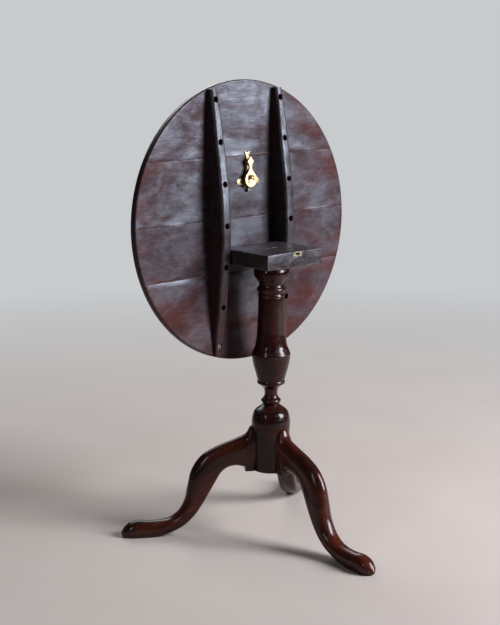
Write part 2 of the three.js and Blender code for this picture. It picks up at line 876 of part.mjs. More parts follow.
// Bolt with its lever and stud: one sliding set, drawn away from the hinge to open.
const boltOutline = new THREE.Shape();
boltOutline.moveTo(-boltWidth / 2, boltTail);
boltOutline.lineTo(-boltWidth / 2, boltNose + 3);
boltOutline.quadraticCurveTo(-boltWidth / 2, boltNose, 0, boltNose);
boltOutline.quadraticCurveTo(boltWidth / 2, boltNose, boltWidth / 2, boltNose + 3);
boltOutline.lineTo(boltWidth / 2, boltTail);
boltOutline.closePath();
const studHole = rod(
  "y",
  studRadius + runningGap / 2,
  60,
  catchOffset,
  underside - 20,
  studAbovePivot,
  12,
);
const boltBody = offUnderside(boltOutline, boltLift, boltHigh, 5).translate(catchOffset, 0, 0);
place(top, "catch_bolt", cut(boltBody, studHole), agedIron);

const leverOutline = new THREE.Shape();
const bowlMeet = Math.PI / 5.2; // where the bowl's arc turns into the neck, above its middle
const meetX = leverBowlRadius * Math.cos(bowlMeet);
const meetZ = leverBowlAbovePivot + leverBowlRadius * Math.sin(bowlMeet);
leverOutline.moveTo(-meetX, meetZ);
leverOutline.absarc(
  0,
  leverBowlAbovePivot,
  leverBowlRadius,
  Math.PI - bowlMeet,
  2 * Math.PI + bowlMeet,
  false,
);
leverOutline.quadraticCurveTo(
  leverNeckHalf + 1.5,
  leverNeckAbovePivot - 7,
  leverNeckHalf,
  leverNeckAbovePivot,
);
leverOutline.quadraticCurveTo(
  leverNeckHalf + 0.5,
  leverFlareAbovePivot - 6,
  leverFlareHalf,
  leverFlareAbovePivot,
);
leverOutline.lineTo(0, leverTipAbovePivot);
leverOutline.lineTo(-leverFlareHalf, leverFlareAbovePivot);
leverOutline.quadraticCurveTo(
  -leverNeckHalf - 0.5,
  leverFlareAbovePivot - 6,
  -leverNeckHalf,
  leverNeckAbovePivot,
);
leverOutline.quadraticCurveTo(-leverNeckHalf - 1.5, leverNeckAbovePivot - 7, -meetX, meetZ);
leverOutline.closePath();
const leverBody = offUnderside(leverOutline, leverLow, leverHigh, 8).translate(catchOffset, 0, 0);
const dish = rod(
  "y",
  leverDishRadius,
  2 * leverDishDepth,
  catchOffset,
  underside - leverHigh,
  leverBowlAbovePivot + 0.5,
  24,
);
place(top, "catch_lever", cut(leverBody, dish, studHole), castBrass);

const ballLift = leverHigh - leverDishDepth + seatGap; // dish floor to the foot of the ball
const stud = new THREE.Path();
stud.moveTo(0, boltLift + 0.2);
stud.lineTo(studRadius, boltLift + 0.2);
stud.lineTo(studRadius, ballLift);
stud.absarc(0, ballLift + studBallRadius * 0.9, studBallRadius, -1.1, Math.PI / 2, false);
const studTurned = new THREE.LatheGeometry(stud.getPoints(4), 12).rotateX(Math.PI);
studTurned.translate(catchOffset, underside, studAbovePivot);
place(top, "catch_stud", studTurned, castBrass);

// ---------------------------------------------------------------- origin
// Floor level, under the middle of the whole tipped-up table.
table.updateMatrixWorld(true);
const whole = new THREE.Box3().setFromObject(table, true);
table.position.y = -(whole.min.y + whole.max.y) / 2;

export default table;
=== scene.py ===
import json
import math

import bmesh
import bpy
import numpy as np
from mathutils import Matrix, Vector, noise


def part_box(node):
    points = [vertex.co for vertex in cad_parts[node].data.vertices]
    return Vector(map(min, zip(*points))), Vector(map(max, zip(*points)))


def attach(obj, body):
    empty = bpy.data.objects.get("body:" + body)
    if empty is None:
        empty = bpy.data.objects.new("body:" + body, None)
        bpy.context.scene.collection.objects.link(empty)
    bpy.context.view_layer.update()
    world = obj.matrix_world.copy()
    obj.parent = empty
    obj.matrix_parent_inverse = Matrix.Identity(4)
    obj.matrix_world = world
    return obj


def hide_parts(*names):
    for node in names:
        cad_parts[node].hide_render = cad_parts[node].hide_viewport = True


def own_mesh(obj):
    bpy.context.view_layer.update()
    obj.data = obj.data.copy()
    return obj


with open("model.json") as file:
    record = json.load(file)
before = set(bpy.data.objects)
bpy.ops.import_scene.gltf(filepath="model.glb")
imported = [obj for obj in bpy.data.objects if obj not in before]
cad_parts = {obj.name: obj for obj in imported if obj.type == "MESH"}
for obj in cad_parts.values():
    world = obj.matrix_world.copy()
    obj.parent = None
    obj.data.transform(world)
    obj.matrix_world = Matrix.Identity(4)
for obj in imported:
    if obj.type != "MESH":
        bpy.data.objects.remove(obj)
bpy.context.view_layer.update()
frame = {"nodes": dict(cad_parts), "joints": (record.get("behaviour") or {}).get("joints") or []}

# ------------------------------------------------------------------ camera, window light, floor
# The table stands on a plain pale floor. A tall window to the right lights it, a smaller
# one to the left picks out the turnings, and a pale wall behind gives back a little light.
scene = bpy.context.scene
joints = {joint["name"]: joint for joint in frame["joints"]}
mm = 0.001

looking = Vector((0.6604, 0.7223, -0.2052)).normalized()
camera_data = bpy.data.cameras.new("camera")
camera_data.lens = 74.88
camera_data.sensor_width = 36
camera_data.shift_x = 0.004
camera_data.clip_end = 200
camera = bpy.data.objects.new("camera", camera_data)
camera.location = (-2.020, -2.0553, 1.1446)
camera.rotation_euler = looking.to_track_quat("-Z", "Y").to_euler()
scene.collection.objects.link(camera)
scene.camera = camera
scene.view_settings.view_transform = "Standard"

ahead = Vector((looking.x, looking.y, 0)).normalized()
to_the_right = ahead.cross(Vector((0, 0, 1)))
table_middle = Vector((0, 0.05, 0.55))


def window(name, place, width, height, power, colour):
    light_data = bpy.data.lights.new(name, "AREA")
    light_data.shape = "RECTANGLE"
    light_data.size = width
    light_data.size_y = height
    light_data.energy = power
    light_data.color = colour
    light = bpy.data.objects.new(name, light_data)
    light.location = place
    light.rotation_euler = (table_middle - place).to_track_quat("-Z", "Y").to_euler()
    light.visible_camera = False
    scene.collection.objects.link(light)


right_window = table_middle + 3.4 * to_the_right - 0.95 * ahead
for sash, height in (("lower", 0.95), ("upper", 2.3)):
    window(
        "right_window_" + sash, right_window + Vector((0, 0, height)), 1.6, 1.2, 180,
        (0.89, 0.925, 1.0),
    )
left_window = table_middle - 1.7 * to_the_right - 2.3 * ahead + Vector((0, 0, 1.0))
window("left_window", left_window, 0.45, 1.1, 9, (0.92, 0.96, 1.0))
far_wall_light = table_middle - 0.9 * to_the_right + 2.6 * ahead + Vector((0, 0, 1.9))
window("far_wall_light", far_wall_light, 2.4, 1.5, 48, (0.96, 0.98, 1.0))

pale_wall = (0.58, 0.595, 0.61, 1)
world = bpy.data.worlds.new("room")
scene.world = world
world.use_nodes = True
room = world.node_tree
room.nodes.clear()
seen = room.nodes.new("ShaderNodeBackground")
seen.inputs["Color"].default_value = pale_wall
dim = room.nodes.new("ShaderNodeBackground")
dim.inputs["Color"].default_value = (0.80, 0.86, 0.95, 1)
dim.inputs["Strength"].default_value = 0.07
ray = room.nodes.new("ShaderNodeLightPath")
either = room.nodes.new("ShaderNodeMixShader")
room_out = room.nodes.new("ShaderNodeOutputWorld")
room.links.new(ray.outputs["Is Camera Ray"], either.inputs["Fac"])
room.links.new(dim.outputs[0], either.inputs[1])
room.links.new(seen.outputs[0], either.inputs[2])
room.links.new(either.outputs[0], room_out.inputs["Surface"])


def as_mesh(shape, name):
    """Ends a bmesh: its faces as a new mesh."""
    mesh = bpy.data.meshes.new(name)
    shape.to_mesh(mesh)
    shape.free()
    return mesh


def new_material(name):
    material = bpy.data.materials.new(name)
    material.use_nodes = True
    material.node_tree.nodes.clear()
    return material


def put(tree, kind, **values):
    """Adds a node; each value names an input socket or a setting of the node."""
    node = tree.nodes.new(kind)
    for key, value in values.items():
        if key in node.inputs:
            if isinstance(value, bpy.types.NodeSocket):
                tree.links.new(value, node.inputs[key])
            else:
                node.inputs[key].default_value = value
        else:
            setattr(node, key, value)
    return node


def maths(tree, operation, first, second=None, clamp=False):
    node = tree.nodes.new("ShaderNodeMath")
    node.operation = operation
    node.use_clamp = clamp
    for socket, value in zip(node.inputs, (first, second)):
        if isinstance(value, bpy.types.NodeSocket):
            tree.links.new(value, socket)
        elif value is not None:
            socket.default_value = value
    return node.outputs[0]


def times(tree, first, second, **more):
    return maths(tree, "MULTIPLY", first, second, **more)


def plus(tree, first, second, **more):
    return maths(tree, "ADD", first, second, **more)


def minus(tree, first, second, **more):
    return maths(tree, "SUBTRACT", first, second, **more)


def span(tree, value, low, high, to_low=0.0, to_high=1.0):
    """Spreads a value between low and high over to_low and to_high, and holds it there."""
    node = put(tree, "ShaderNodeMapRange", clamp=True)
    tree.links.new(value, node.inputs["Value"])
    node.inputs["From Min"].default_value = low
    node.inputs["From Max"].default_value = high
    node.inputs["To Min"].default_value = to_low
    node.inputs["To Max"].default_value = to_high
    return node.outputs["Result"]


def blend_colour(tree, share, first, second, mode="MIX"):
    node = tree.nodes.new("ShaderNodeMix")
    node.data_type = "RGBA"
    node.blend_type = mode
    for socket, value in zip((node.inputs[0], node.inputs[6], node.inputs[7]), (share, first, second)):
        if isinstance(value, bpy.types.NodeSocket):
            tree.links.new(value, socket)
        else:
            socket.default_value = value
    return node.outputs[2]


def show(tree, shader):
    out = put(tree, "ShaderNodeOutputMaterial")
    tree.links.new(shader.outputs[0], out.inputs["Surface"])


def lay_over(tree, colour, mask, amount, over):
    """Another colour over the first, as far as the mask times the amount allows."""
    return blend_colour(tree, times(tree, mask, amount), colour, over)


def noise_at(tree, place, scale, detail, **more):
    settings = {"Vector": place, "Scale": scale, "Detail": detail, **more}
    return put(tree, "ShaderNodeTexNoise", **settings).outputs["Fac"]


floor_material = new_material("pale_floor")
tree = floor_material.node_tree
floor_place = put(tree, "ShaderNodeTexCoord").outputs["Object"]
floor_mottle = put(tree, "ShaderNodeTexNoise", Vector=floor_place, Scale=3.0, Detail=6.0).outputs["Fac"]
floor_paint = put(tree, "ShaderNodeBsdfPrincipled", Roughness=0.85)
floor_paint.inputs["Specular IOR Level"].default_value = 0.15
floor_colour = blend_colour(tree, floor_mottle, (0.44, 0.375, 0.335, 1), (0.51, 0.445, 0.405, 1))
tree.links.new(floor_colour, floor_paint.inputs["Base Color"])
far_wall = put(tree, "ShaderNodeEmission", Color=pale_wall)
how_far = put(tree, "ShaderNodeVectorMath", operation="LENGTH")
tree.links.new(floor_place, how_far.inputs[0])
faded = span(tree, how_far.outputs["Value"], 0.8, 3.2)
floor_ray = put(tree, "ShaderNodeLightPath").outputs["Is Camera Ray"]
fade = times(tree, faded, floor_ray)
floor_mix = put(tree, "ShaderNodeMixShader", Fac=fade)
tree.links.new(floor_paint.outputs[0], floor_mix.inputs[1])
tree.links.new(far_wall.outputs[0], floor_mix.inputs[2])
show(tree, floor_mix)

floor_shape = bmesh.new()
bmesh.ops.create_circle(floor_shape, cap_ends=True, segments=64, radius=60)
floor_mesh = as_mesh(floor_shape, "floor")
floor_mesh.materials.append(floor_material)
floor = bpy.data.objects.new("floor", floor_mesh)
scene.collection.objects.link(floor)

# ------------------------------------------------------------------ turned column
# One turned mahogany piece: hub, ball, ringed neck, vase, tapering shaft, collar and cap,
# and a tenon that goes up through the block. Friction-polished, darker in the quirks from painted shade with
# some grime.
column_low, column_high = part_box("column")
column_axis = Vector(((column_low.x + column_high.x) / 2, (column_low.y + column_high.y) / 2, 0))
hub_bottom = column_low.z / mm
tenon_top = column_high.z / mm
hub_radius = 44
hub_top = hub_bottom + 95.5
cap_bottom = tenon_top - 34
tenon_radius = 23


def eased_step(t, start, leaving, end, arriving):
    """A cubic from start to end that leaves and arrives at the given speeds."""
    return (
        (2 * t**3 - 3 * t**2 + 1) * start + (t**3 - 2 * t**2 + t) * leaving
        + (3 * t**2 - 2 * t**3) * end + (t**3 - t**2) * arriving
    )


def through(points, steps=10):
    """Points along a smooth curve through the given ones, the first left out."""
    points = [np.array(point, float) for point in points]
    found = []
    for i in range(len(points) - 1):
        before, start, end, after = (
            points[max(i - 1, 0)], points[i], points[i + 1], points[min(i + 2, len(points) - 1)]
        )
        leaving, arriving = (end - before) / 2, (after - start) / 2
        for step in range(1, steps + 1):
            found.append(eased_step(step / steps, start, leaving, end, arriving))
    return [tuple(point) for point in found]


def straight(start, end, steps):
    return [
        tuple(np.array(start) + (np.array(end) - np.array(start)) * step / steps)
        for step in range(1, steps + 1)
    ]


def scribed(outline, heights, depth=0.55, half=0.75):
    """Cuts fine turner's lines into a profile at the given heights."""
    found = []
    for (radius, height), (next_radius, next_height) in zip(outline, outline[1:] + outline[-1:]):
        found.append((radius, height))
        for line in heights:
            if height < line - half and next_height >= line - half:
                slope = (next_radius - radius) / max(next_height - height, 1e-6)
                for rise, cut in ((-half, 0), (-half * 0.3, depth), (half * 0.3, depth), (half, 0)):
                    at = radius + slope * (line + rise - height)
                    found.append((at - cut, line + rise))
    found.sort(key=lambda point: point[1])
    return found


def above_hub(*pairs):
    return [(radius, hub_top + height) for radius, height in pairs]


def below_cap(*pairs):
    return [(radius, cap_bottom - drop) for radius, drop in pairs]


hub_and_ball = (
    [(hub_radius, hub_bottom + 0.8)]
    + straight((hub_radius, hub_bottom + 0.8), (hub_radius, hub_top), 12)
    + through(
        above_hub((44, 0), (45.3, 15), (44.7, 27), (40.7, 42), (35, 49.5), (25, 57), (18, 62)), 9
    )
)
hub_and_ball = scribed(hub_and_ball, [hub_top + 7, hub_top + 10.5])
neck = through(above_hub((18, 62), (23.3, 71), (17, 79)), 9)
neck += through(above_hub((17, 79), (15.2, 85), (15.6, 95), (19.8, 103.5), (32.3, 113)), 9)
vase = above_hub((32.5, 113.6), (32.5, 118), (31.4, 120))
vase += through(
    above_hub((31.4, 120), (35.5, 135), (41, 155), (44.3, 173), (44.9, 184)), 9
)
vase += through(above_hub((44.9, 184), (41.4, 192.5), (37.3, 203), (33.3, 228)), 9)
vase = scribed(vase, [hub_top + 188.5], 0.35, 0.6)
shaft = straight((33.3, hub_top + 228), (32.2, hub_top + 255), 4)
shaft += straight((32.2, hub_top + 255), (30.2, cap_bottom - 78), 10)
collar = below_cap((30.0, 77.4))
collar += through(below_cap((30.0, 77.4), (31.8, 74), (30.3, 70)), 8)
collar += below_cap((29.6, 69.4))
collar += through(below_cap((29.6, 69.4), (34, 60), (30.8, 54)), 10)
collar += below_cap((29.9, 53.2))
collar += through(below_cap((29.9, 53.2), (29, 46), (33.5, 38.5), (39.2, 31)), 9)
collar += below_cap((39.2, 29.6), (40.4, 28.4), (40.6, 24), (40.6, 12.4), (40.1, 11.6),
                    (40.1, 10.9), (40.6, 10.1), (40.6, 0.6), (40.0, 0))
tenon = [(tenon_radius, cap_bottom), (tenon_radius, tenon_top - 0.3), (tenon_radius - 0.3, tenon_top)]
column_profile = (
    [(0, hub_bottom), (hub_radius - 0.8, hub_bottom)]
    + hub_and_ball + neck + vase + shaft + collar + tenon + [(0, tenon_top)]
)


def group_tree(name, kind, inputs, outputs):
    made = bpy.data.node_groups.new(name, kind)
    for socket, socket_kind, value in inputs:
        item = made.interface.new_socket(socket, in_out="INPUT", socket_type=socket_kind)
        if value is not None:
            item.default_value = value
    for socket, socket_kind in outputs:
        made.interface.new_socket(socket, in_out="OUTPUT", socket_type=socket_kind)
    return made, made.nodes.new("NodeGroupInput").outputs, made.nodes.new("NodeGroupOutput").inputs


def lathe_tree():
    """Turns a profile curve, x radius and y height, round the upright axis."""
    made, given, result = group_tree(
        "turning",
        "GeometryNodeTree",
        [
            ("Profile", "NodeSocketGeometry", None),
            ("Sides", "NodeSocketInt", 96),
            ("Weld", "NodeSocketFloat", 0.00001),
            ("Wood", "NodeSocketMaterial", None),
        ],
        [("Turned", "NodeSocketGeometry")],
    )
    points = put(made, "GeometryNodeAttributeDomainSize", component="CURVE", Geometry=given["Profile"])
    stations = points.outputs["Point Count"]
    around = plus(made, given["Sides"], 1)
    sheet = put(made, "GeometryNodeMeshGrid", **{"Size X": 1.0, "Size Y": 1.0})
    made.links.new(around, sheet.inputs["Vertices X"])
    made.links.new(stations, sheet.inputs["Vertices Y"])
    flat = put(made, "GeometryNodeInputPosition").outputs[0]
    parts = put(made, "ShaderNodeSeparateXYZ", Vector=flat).outputs
    turn = times(made, plus(made, parts["X"], 0.5), 2 * math.pi)
    last = minus(made, stations, 1)
    station = maths(made, "ROUND", times(made, plus(made, parts["Y"], 0.5), last))
    sample = put(made, "GeometryNodeSampleIndex", data_type="FLOAT_VECTOR", domain="POINT")
    made.links.new(given["Profile"], sample.inputs["Geometry"])
    made.links.new(flat, sample.inputs["Value"])
    made.links.new(station, sample.inputs["Index"])
    outline = put(made, "ShaderNodeSeparateXYZ", Vector=sample.outputs["Value"]).outputs
    turned_x = times(made, outline["X"], maths(made, "COSINE", turn))
    turned_y = times(made, outline["X"], maths(made, "SINE", turn))
    place = put(made, "ShaderNodeCombineXYZ", X=turned_x, Y=turned_y, Z=outline["Y"]).outputs[0]
    moved = put(made, "GeometryNodeSetPosition", Geometry=sheet.outputs["Mesh"], Position=place)
    welded = put(made, "GeometryNodeMergeByDistance", Geometry=moved.outputs[0], Distance=given["Weld"])
    whole = put(made, "GeometryNodeRealizeInstances", Geometry=welded.outputs[0])
    painted = put(made, "GeometryNodeSetMaterial", Geometry=whole.outputs[0], Material=given["Wood"])
    made.links.new(painted.outputs[0], result["Turned"])
    return made


def made_by_nodes(obj, node_tree, **values):
    """Runs a node tree on an object and returns what it makes as a plain mesh."""
    modifier = obj.modifiers.new(node_tree.name, "NODES")
    modifier.node_group = node_tree
    sockets = {
        item.name: item.identifier
        for item in node_tree.interface.items_tree
        if item.item_type == "SOCKET" and item.in_out == "INPUT"
    }
    for key, value in values.items():
        modifier[sockets[key.replace("_", " ")]] = value
    obj.update_tag()
    bpy.context.view_layer.update()
    evaluated = obj.evaluated_get(bpy.context.evaluated_depsgraph_get())
    mesh = bpy.data.meshes.new_from_object(evaluated)
    obj.modifiers.clear()
    bpy.data.objects.remove(obj)
    return mesh


def profile_object(name, pairs):
    curve = bpy.data.curves.new(name, "CURVE")
    curve.dimensions = "3D"
    line = curve.splines.new("POLY")
    line.points.add(len(pairs) - 1)
    for point, (radius, height) in zip(line.points, pairs):
        point.co = (radius * mm, height * mm, 0, 1)
    obj = bpy.data.objects.new(name, curve)
    scene.collection.objects.link(obj)
    return obj


def shaded(mesh, degrees=35):
    """Smooth shading that keeps arrises sharper than the given angle."""
    for polygon in mesh.polygons:
        polygon.use_smooth = True
    mesh.set_sharp_from_angle(angle=math.radians(degrees))
    return mesh


def outwards(mesh):
    shape = bmesh.new()
    shape.from_mesh(mesh)
    bmesh.ops.recalc_face_normals(shape, faces=shape.faces[:])
    shape.to_mesh(mesh)
    shape.free()
    return mesh


def lay_grain(mesh, along, start=(0, 0, 0)):
    """Stores each vertex's place in the board it was sawn from, Z along the grain."""
    along = Vector(along).normalized()
    turn = along.rotation_difference(Vector((0, 0, 1))).to_matrix()
    spots = np.empty(len(mesh.vertices) * 3, np.float32)
    mesh.vertices.foreach_get("co", spots)
    spots = spots.reshape(-1, 3) @ np.array(turn, np.float32).T + np.array(start, np.float32)
    layer = mesh.attributes.get("grain_place") or mesh.attributes.new(
        "grain_place", "FLOAT_VECTOR", "POINT"
    )
    layer.data.foreach_set("vector", spots.astype(np.float32).ravel())
    return mesh


def piece(name, mesh, body, slot_name, *nodes):
    """A finished piece: rides on its body and stands for its CAD nodes. The slot name is not used."""
    mesh.name = name
    obj = bpy.data.objects.new(name, mesh)
    scene.collection.objects.link(obj)
    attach(obj, body)
    if nodes:
        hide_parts(*nodes)
    return obj


def only(mesh, material):
    mesh.materials.clear()
    mesh.materials.append(material)
    return mesh


def with_tool(mesh, tool, operation="DIFFERENCE"):
    """A mesh after one boolean cut or join with another mesh, as a new mesh."""
    work = bpy.data.objects.new("work", mesh)
    cutter = bpy.data.objects.new("cutter", tool)
    scene.collection.objects.link(work)
    scene.collection.objects.link(cutter)
    modifier = work.modifiers.new("cut", "BOOLEAN")
    modifier.operation = operation
    modifier.solver = "EXACT"
    modifier.object = cutter
    bpy.context.view_layer.update()
    result = bpy.data.meshes.new_from_object(
        work.evaluated_get(bpy.context.evaluated_depsgraph_get())
    )
    work.modifiers.clear()
    bpy.data.objects.remove(work)
    bpy.data.objects.remove(cutter)
    return result


def block_mesh(low, high, ease=0.0):
    """A squared block between two corners in metres, its arrises eased."""
    shape = bmesh.new()
    bmesh.ops.create_cube(shape, size=1)
    size = Vector(high) - Vector(low)
    middle = (Vector(high) + Vector(low)) / 2
    for vertex in shape.verts:
        vertex.co = Vector(vertex.co[i] * size[i] + middle[i] for i in range(3))
    if ease:
        bmesh.ops.bevel(
            shape, geom=shape.edges[:], offset=ease, segments=3, profile=0.5, affect="EDGES"
        )
    return as_mesh(shape, "block")


def wood_grain_group():
    """Streaks, broad figure, pores and growth rings of wood whose grain runs along Z."""
    made, given, result = group_tree(
        "wood_grain",
        "ShaderNodeTree",
        [
            ("Place", "NodeSocketVector", None),
            ("Streaks", "NodeSocketFloat", 260.0),
            ("Figure Size", "NodeSocketFloat", 22.0),
            ("Ring Count", "NodeSocketFloat", 30.0),
            ("Seed", "NodeSocketFloat", 0.0),
        ],
        [
            ("Streak", "NodeSocketFloat"),
            ("Figure", "NodeSocketFloat"),
            ("Ring", "NodeSocketFloat"),
            ("Pore", "NodeSocketFloat"),
        ],
    )

    def stretched(size, along):
        scale = put(made, "ShaderNodeCombineXYZ", X=size, Y=size, Z=times(made, size, along))
        node = put(made, "ShaderNodeVectorMath", operation="MULTIPLY")
        made.links.new(given["Place"], node.inputs[0])
        made.links.new(scale.outputs[0], node.inputs[1])
        shift = put(made, "ShaderNodeVectorMath", operation="ADD")
        made.links.new(node.outputs[0], shift.inputs[0])
        seeded = put(made, "ShaderNodeCombineXYZ", X=given["Seed"], Y=given["Seed"], Z=given["Seed"])
        made.links.new(seeded.outputs[0], shift.inputs[1])
        return shift.outputs[0]

    streak = put(
        made, "ShaderNodeTexNoise", Vector=stretched(given["Streaks"], 0.03), Scale=1.0,
        Detail=5.0, Roughness=0.62,
    )
    figure = put(
        made, "ShaderNodeTexNoise", Vector=stretched(given["Figure Size"], 0.22), Scale=1.0,
        Detail=4.0, Roughness=0.55, Distortion=0.7,
    )
    ring = put(
        made, "ShaderNodeTexWave", wave_type="RINGS", rings_direction="Z",
        Vector=stretched(given["Ring Count"], 0.06), Scale=1.0, Distortion=5.0, Detail=3.0,
    )
    ring.inputs["Detail Scale"].default_value = 0.8
    pore = put(
        made, "ShaderNodeTexNoise", Vector=stretched(times(made, given["Streaks"], 5.0), 0.02),
        Scale=1.0, Detail=2.0, Roughness=0.5,
    )
    made.links.new(span(made, streak.outputs["Fac"], 0.3, 0.72), result["Streak"])
    made.links.new(span(made, figure.outputs["Fac"], 0.32, 0.68), result["Figure"])
    made.links.new(ring.outputs["Fac"], result["Ring"])
    made.links.new(span(made, pore.outputs["Fac"], 0.58, 0.68), result["Pore"])
    return made


def handling_and_shade_group():
    """Where hands have rubbed the arrises, and painted shade with some grime in the corners and recesses."""
    made, given, result = group_tree(
        "handling_and_shade",
        "ShaderNodeTree",
        [
            ("Place", "NodeSocketVector", None),
            ("Arris Width", "NodeSocketFloat", 0.0015),
            ("Corner Reach", "NodeSocketFloat", 0.012),
        ],
        [("Rubbed", "NodeSocketFloat"), ("Grime_And_Shade", "NodeSocketFloat"), ("Mottle", "NodeSocketFloat")],
    )
    eased = put(made, "ShaderNodeBevel", samples=4, Radius=given["Arris Width"]).outputs[0]
    true_normal = put(made, "ShaderNodeNewGeometry").outputs["Normal"]
    agree = put(made, "ShaderNodeVectorMath", operation="DOT_PRODUCT")
    made.links.new(eased, agree.inputs[0])
    made.links.new(true_normal, agree.inputs[1])
    edge = span(made, agree.outputs["Value"], 0.995, 0.86)
    patches = put(made, "ShaderNodeTexNoise", Vector=given["Place"], Scale=45.0, Detail=5.0, Roughness=0.65)
    mottle = patches.outputs["Fac"]
    made.links.new(times(made, edge, span(made, mottle, 0.38, 0.62)), result["Rubbed"])
    # The corner output: ambient occlusion darkens corners and recesses. This is painted shade, with some real
    # grime.
    open_sky = put(
        made, "ShaderNodeAmbientOcclusion", samples=4, only_local=False, Distance=given["Corner Reach"]
    ).outputs["AO"]
    corner_shade = span(made, open_sky, 0.85, 0.35)
    made.links.new(times(made, corner_shade, span(made, mottle, 0.3, 0.55, 0.5, 1.0)), result["Grime_And_Shade"])
    made.links.new(mottle, result["Mottle"])
    return made


def dust_group():
    """A thin film of dust on what faces up, thinner where it has been wiped."""
    made, given, result = group_tree(
        "dust",
        "ShaderNodeTree",
        [("Place", "NodeSocketVector", None), ("Amount", "NodeSocketFloat", 0.3)],
        [("Film", "NodeSocketFloat")],
    )
    facing = put(made, "ShaderNodeTexCoord").outputs["Normal"]
    upward = put(made, "ShaderNodeSeparateXYZ", Vector=facing).outputs["Z"]
    flat_up = span(made, upward, 0.55, 1.0)
    wiped = put(made, "ShaderNodeTexNoise", Vector=given["Place"], Scale=60.0, Detail=6.0, Roughness=0.7)
    film = times(made, flat_up, span(made, wiped.outputs["Fac"], 0.35, 0.7))
    made.links.new(times(made, film, given["Amount"]), result["Film"])
    return made


wood_grain = wood_grain_group()
handling_and_shade = handling_and_shade_group()
dust = dust_group()


def group_node(tree, group, **values):
    node = tree.nodes.new("ShaderNodeGroup")
    node.node_tree = group
    for key, value in values.items():
        socket = node.inputs[key.replace("_", " ")]
        if isinstance(value, bpy.types.NodeSocket):
            tree.links.new(value, socket)
        else:
            socket.default_value = value
    return node.outputs


def polished_wood(name, dark, warm, rubbed, gloss, coat, dusty=0.06, seed=0.0, arris=0.0015):
    """Old polished mahogany: dark in the figure, warm between, shiny where rubbed."""
    material = new_material(name)
    tree = material.node_tree
    spot = put(tree, "ShaderNodeAttribute", attribute_name="grain_place").outputs["Vector"]
    grain = group_node(tree, wood_grain, Place=spot, Seed=seed)
    worn = group_node(tree, handling_and_shade, Place=spot, Arris_Width=arris)
    settled = group_node(tree, dust, Place=spot, Amount=dusty)["Film"]
    lightness = times(tree, grain["Figure"], span(tree, grain["Streak"], 0, 1, 0.55, 1.0))
    lightness = plus(tree, lightness, times(tree, grain["Ring"], 0.12), clamp=True)
    colour = blend_colour(tree, lightness, dark, warm)
    colour = lay_over(tree, colour, grain["Pore"], 0.55, (0.006, 0.003, 0.002, 1))
    colour = lay_over(tree, colour, worn["Rubbed"], 0.75, rubbed)
    # Painted shade with some grime: darker in corners and recesses.
    colour = lay_over(tree, colour, worn["Grime_And_Shade"], 0.85, (0.008, 0.005, 0.004, 1))
    colour = blend_colour(tree, settled, colour, (0.20, 0.17, 0.15, 1))
    roughness = plus(tree, gloss, times(tree, worn["Mottle"], 0.12))
    roughness = plus(tree, roughness, times(tree, worn["Grime_And_Shade"], 0.35))
    roughness = plus(tree, roughness, times(tree, settled, 0.9), clamp=True)
    relief = minus(tree, times(tree, grain["Streak"], 0.4), grain["Pore"])
    broad = noise_at(tree, spot, 38.0, 2.0)
    relief = plus(tree, relief, times(tree, broad, 5.0))
    bump = put(tree, "ShaderNodeBump", Strength=0.35, Distance=0.0003, Height=relief)
    shader = put(tree, "ShaderNodeBsdfPrincipled", Roughness=roughness, Normal=bump.outputs[0])
    tree.links.new(colour, shader.inputs["Base Color"])
    shader.inputs["IOR"].default_value = 1.33
    shader.inputs["Coat Weight"].default_value = coat
    shader.inputs["Coat Roughness"].default_value = 0.07
    show(tree, shader)
    return material


column_polish = polished_wood(
    "column_polish", (0.0045, 0.0014, 0.0012, 1), (0.036, 0.0048, 0.0028, 1), (0.11, 0.026, 0.013, 1),
    gloss=0.05, coat=0.08,
)


def end_grain_wood(name, dark, pale, seed):
    """Sawn end grain: rings seen end on, dry and open, dirt in the pores."""
    material = new_material(name)
    tree = material.node_tree
    spot = put(tree, "ShaderNodeAttribute", attribute_name="grain_place").outputs["Vector"]
    grain = group_node(tree, wood_grain, Place=spot, Streaks=900.0, Ring_Count=75.0, Seed=seed)
    worn = group_node(tree, handling_and_shade, Place=spot, Corner_Reach=0.004)
    tone = times(tree, grain["Ring"], span(tree, grain["Streak"], 0, 1, 0.6, 1))
    colour = blend_colour(tree, tone, dark, pale)
    colour = lay_over(tree, colour, grain["Pore"], 0.7, (0.006, 0.004, 0.004, 1))
    # Painted shade with some grime: darker in corners and recesses such as the wedge's kerf.
    colour = blend_colour(tree, worn["Grime_And_Shade"], colour, (0.006, 0.004, 0.004, 1))
    roughness = span(tree, worn["Mottle"], 0.3, 0.7, 0.42, 0.62)
    relief = minus(tree, grain["Ring"], grain["Pore"])
    bump = put(tree, "ShaderNodeBump", Strength=0.5, Distance=0.0003, Height=relief)
    shader = put(tree, "ShaderNodeBsdfPrincipled", Roughness=roughness, Normal=bump.outputs[0])
    tree.links.new(colour, shader.inputs["Base Color"])
    show(tree, shader)
    return material


tenon_end = end_grain_wood("tenon_end", (0.014, 0.009, 0.010, 1), (0.05, 0.032, 0.032, 1), 4.0)
turning = lathe_tree()
column_mesh = made_by_nodes(
    profile_object("column_profile", column_profile), turning, Sides=112, Wood=column_polish
)
outwards(column_mesh)
column_mesh.transform(Matrix.Translation(column_axis))
wedge_low, wedge_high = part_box("tenon_wedge")
kerf_ease = Vector((0.3, 0.3, 0.3)) * mm
kerf = block_mesh(wedge_low - kerf_ease, wedge_high + kerf_ease + Vector((0, 0, 0.002)))
column_mesh = with_tool(column_mesh, kerf)
column_mesh.materials.append(tenon_end)
for face in column_mesh.polygons:
    if face.center.z > (tenon_top - 1) * mm and face.normal.z > 0.5:
        face.material_index = len(column_mesh.materials) - 1
lay_grain(column_mesh, (0, 0, 1), (0.11, 0.05, 0))
shaded(column_mesh, 32)
piece("turned_column", column_mesh, "stand", "polished_mahogany", "column")

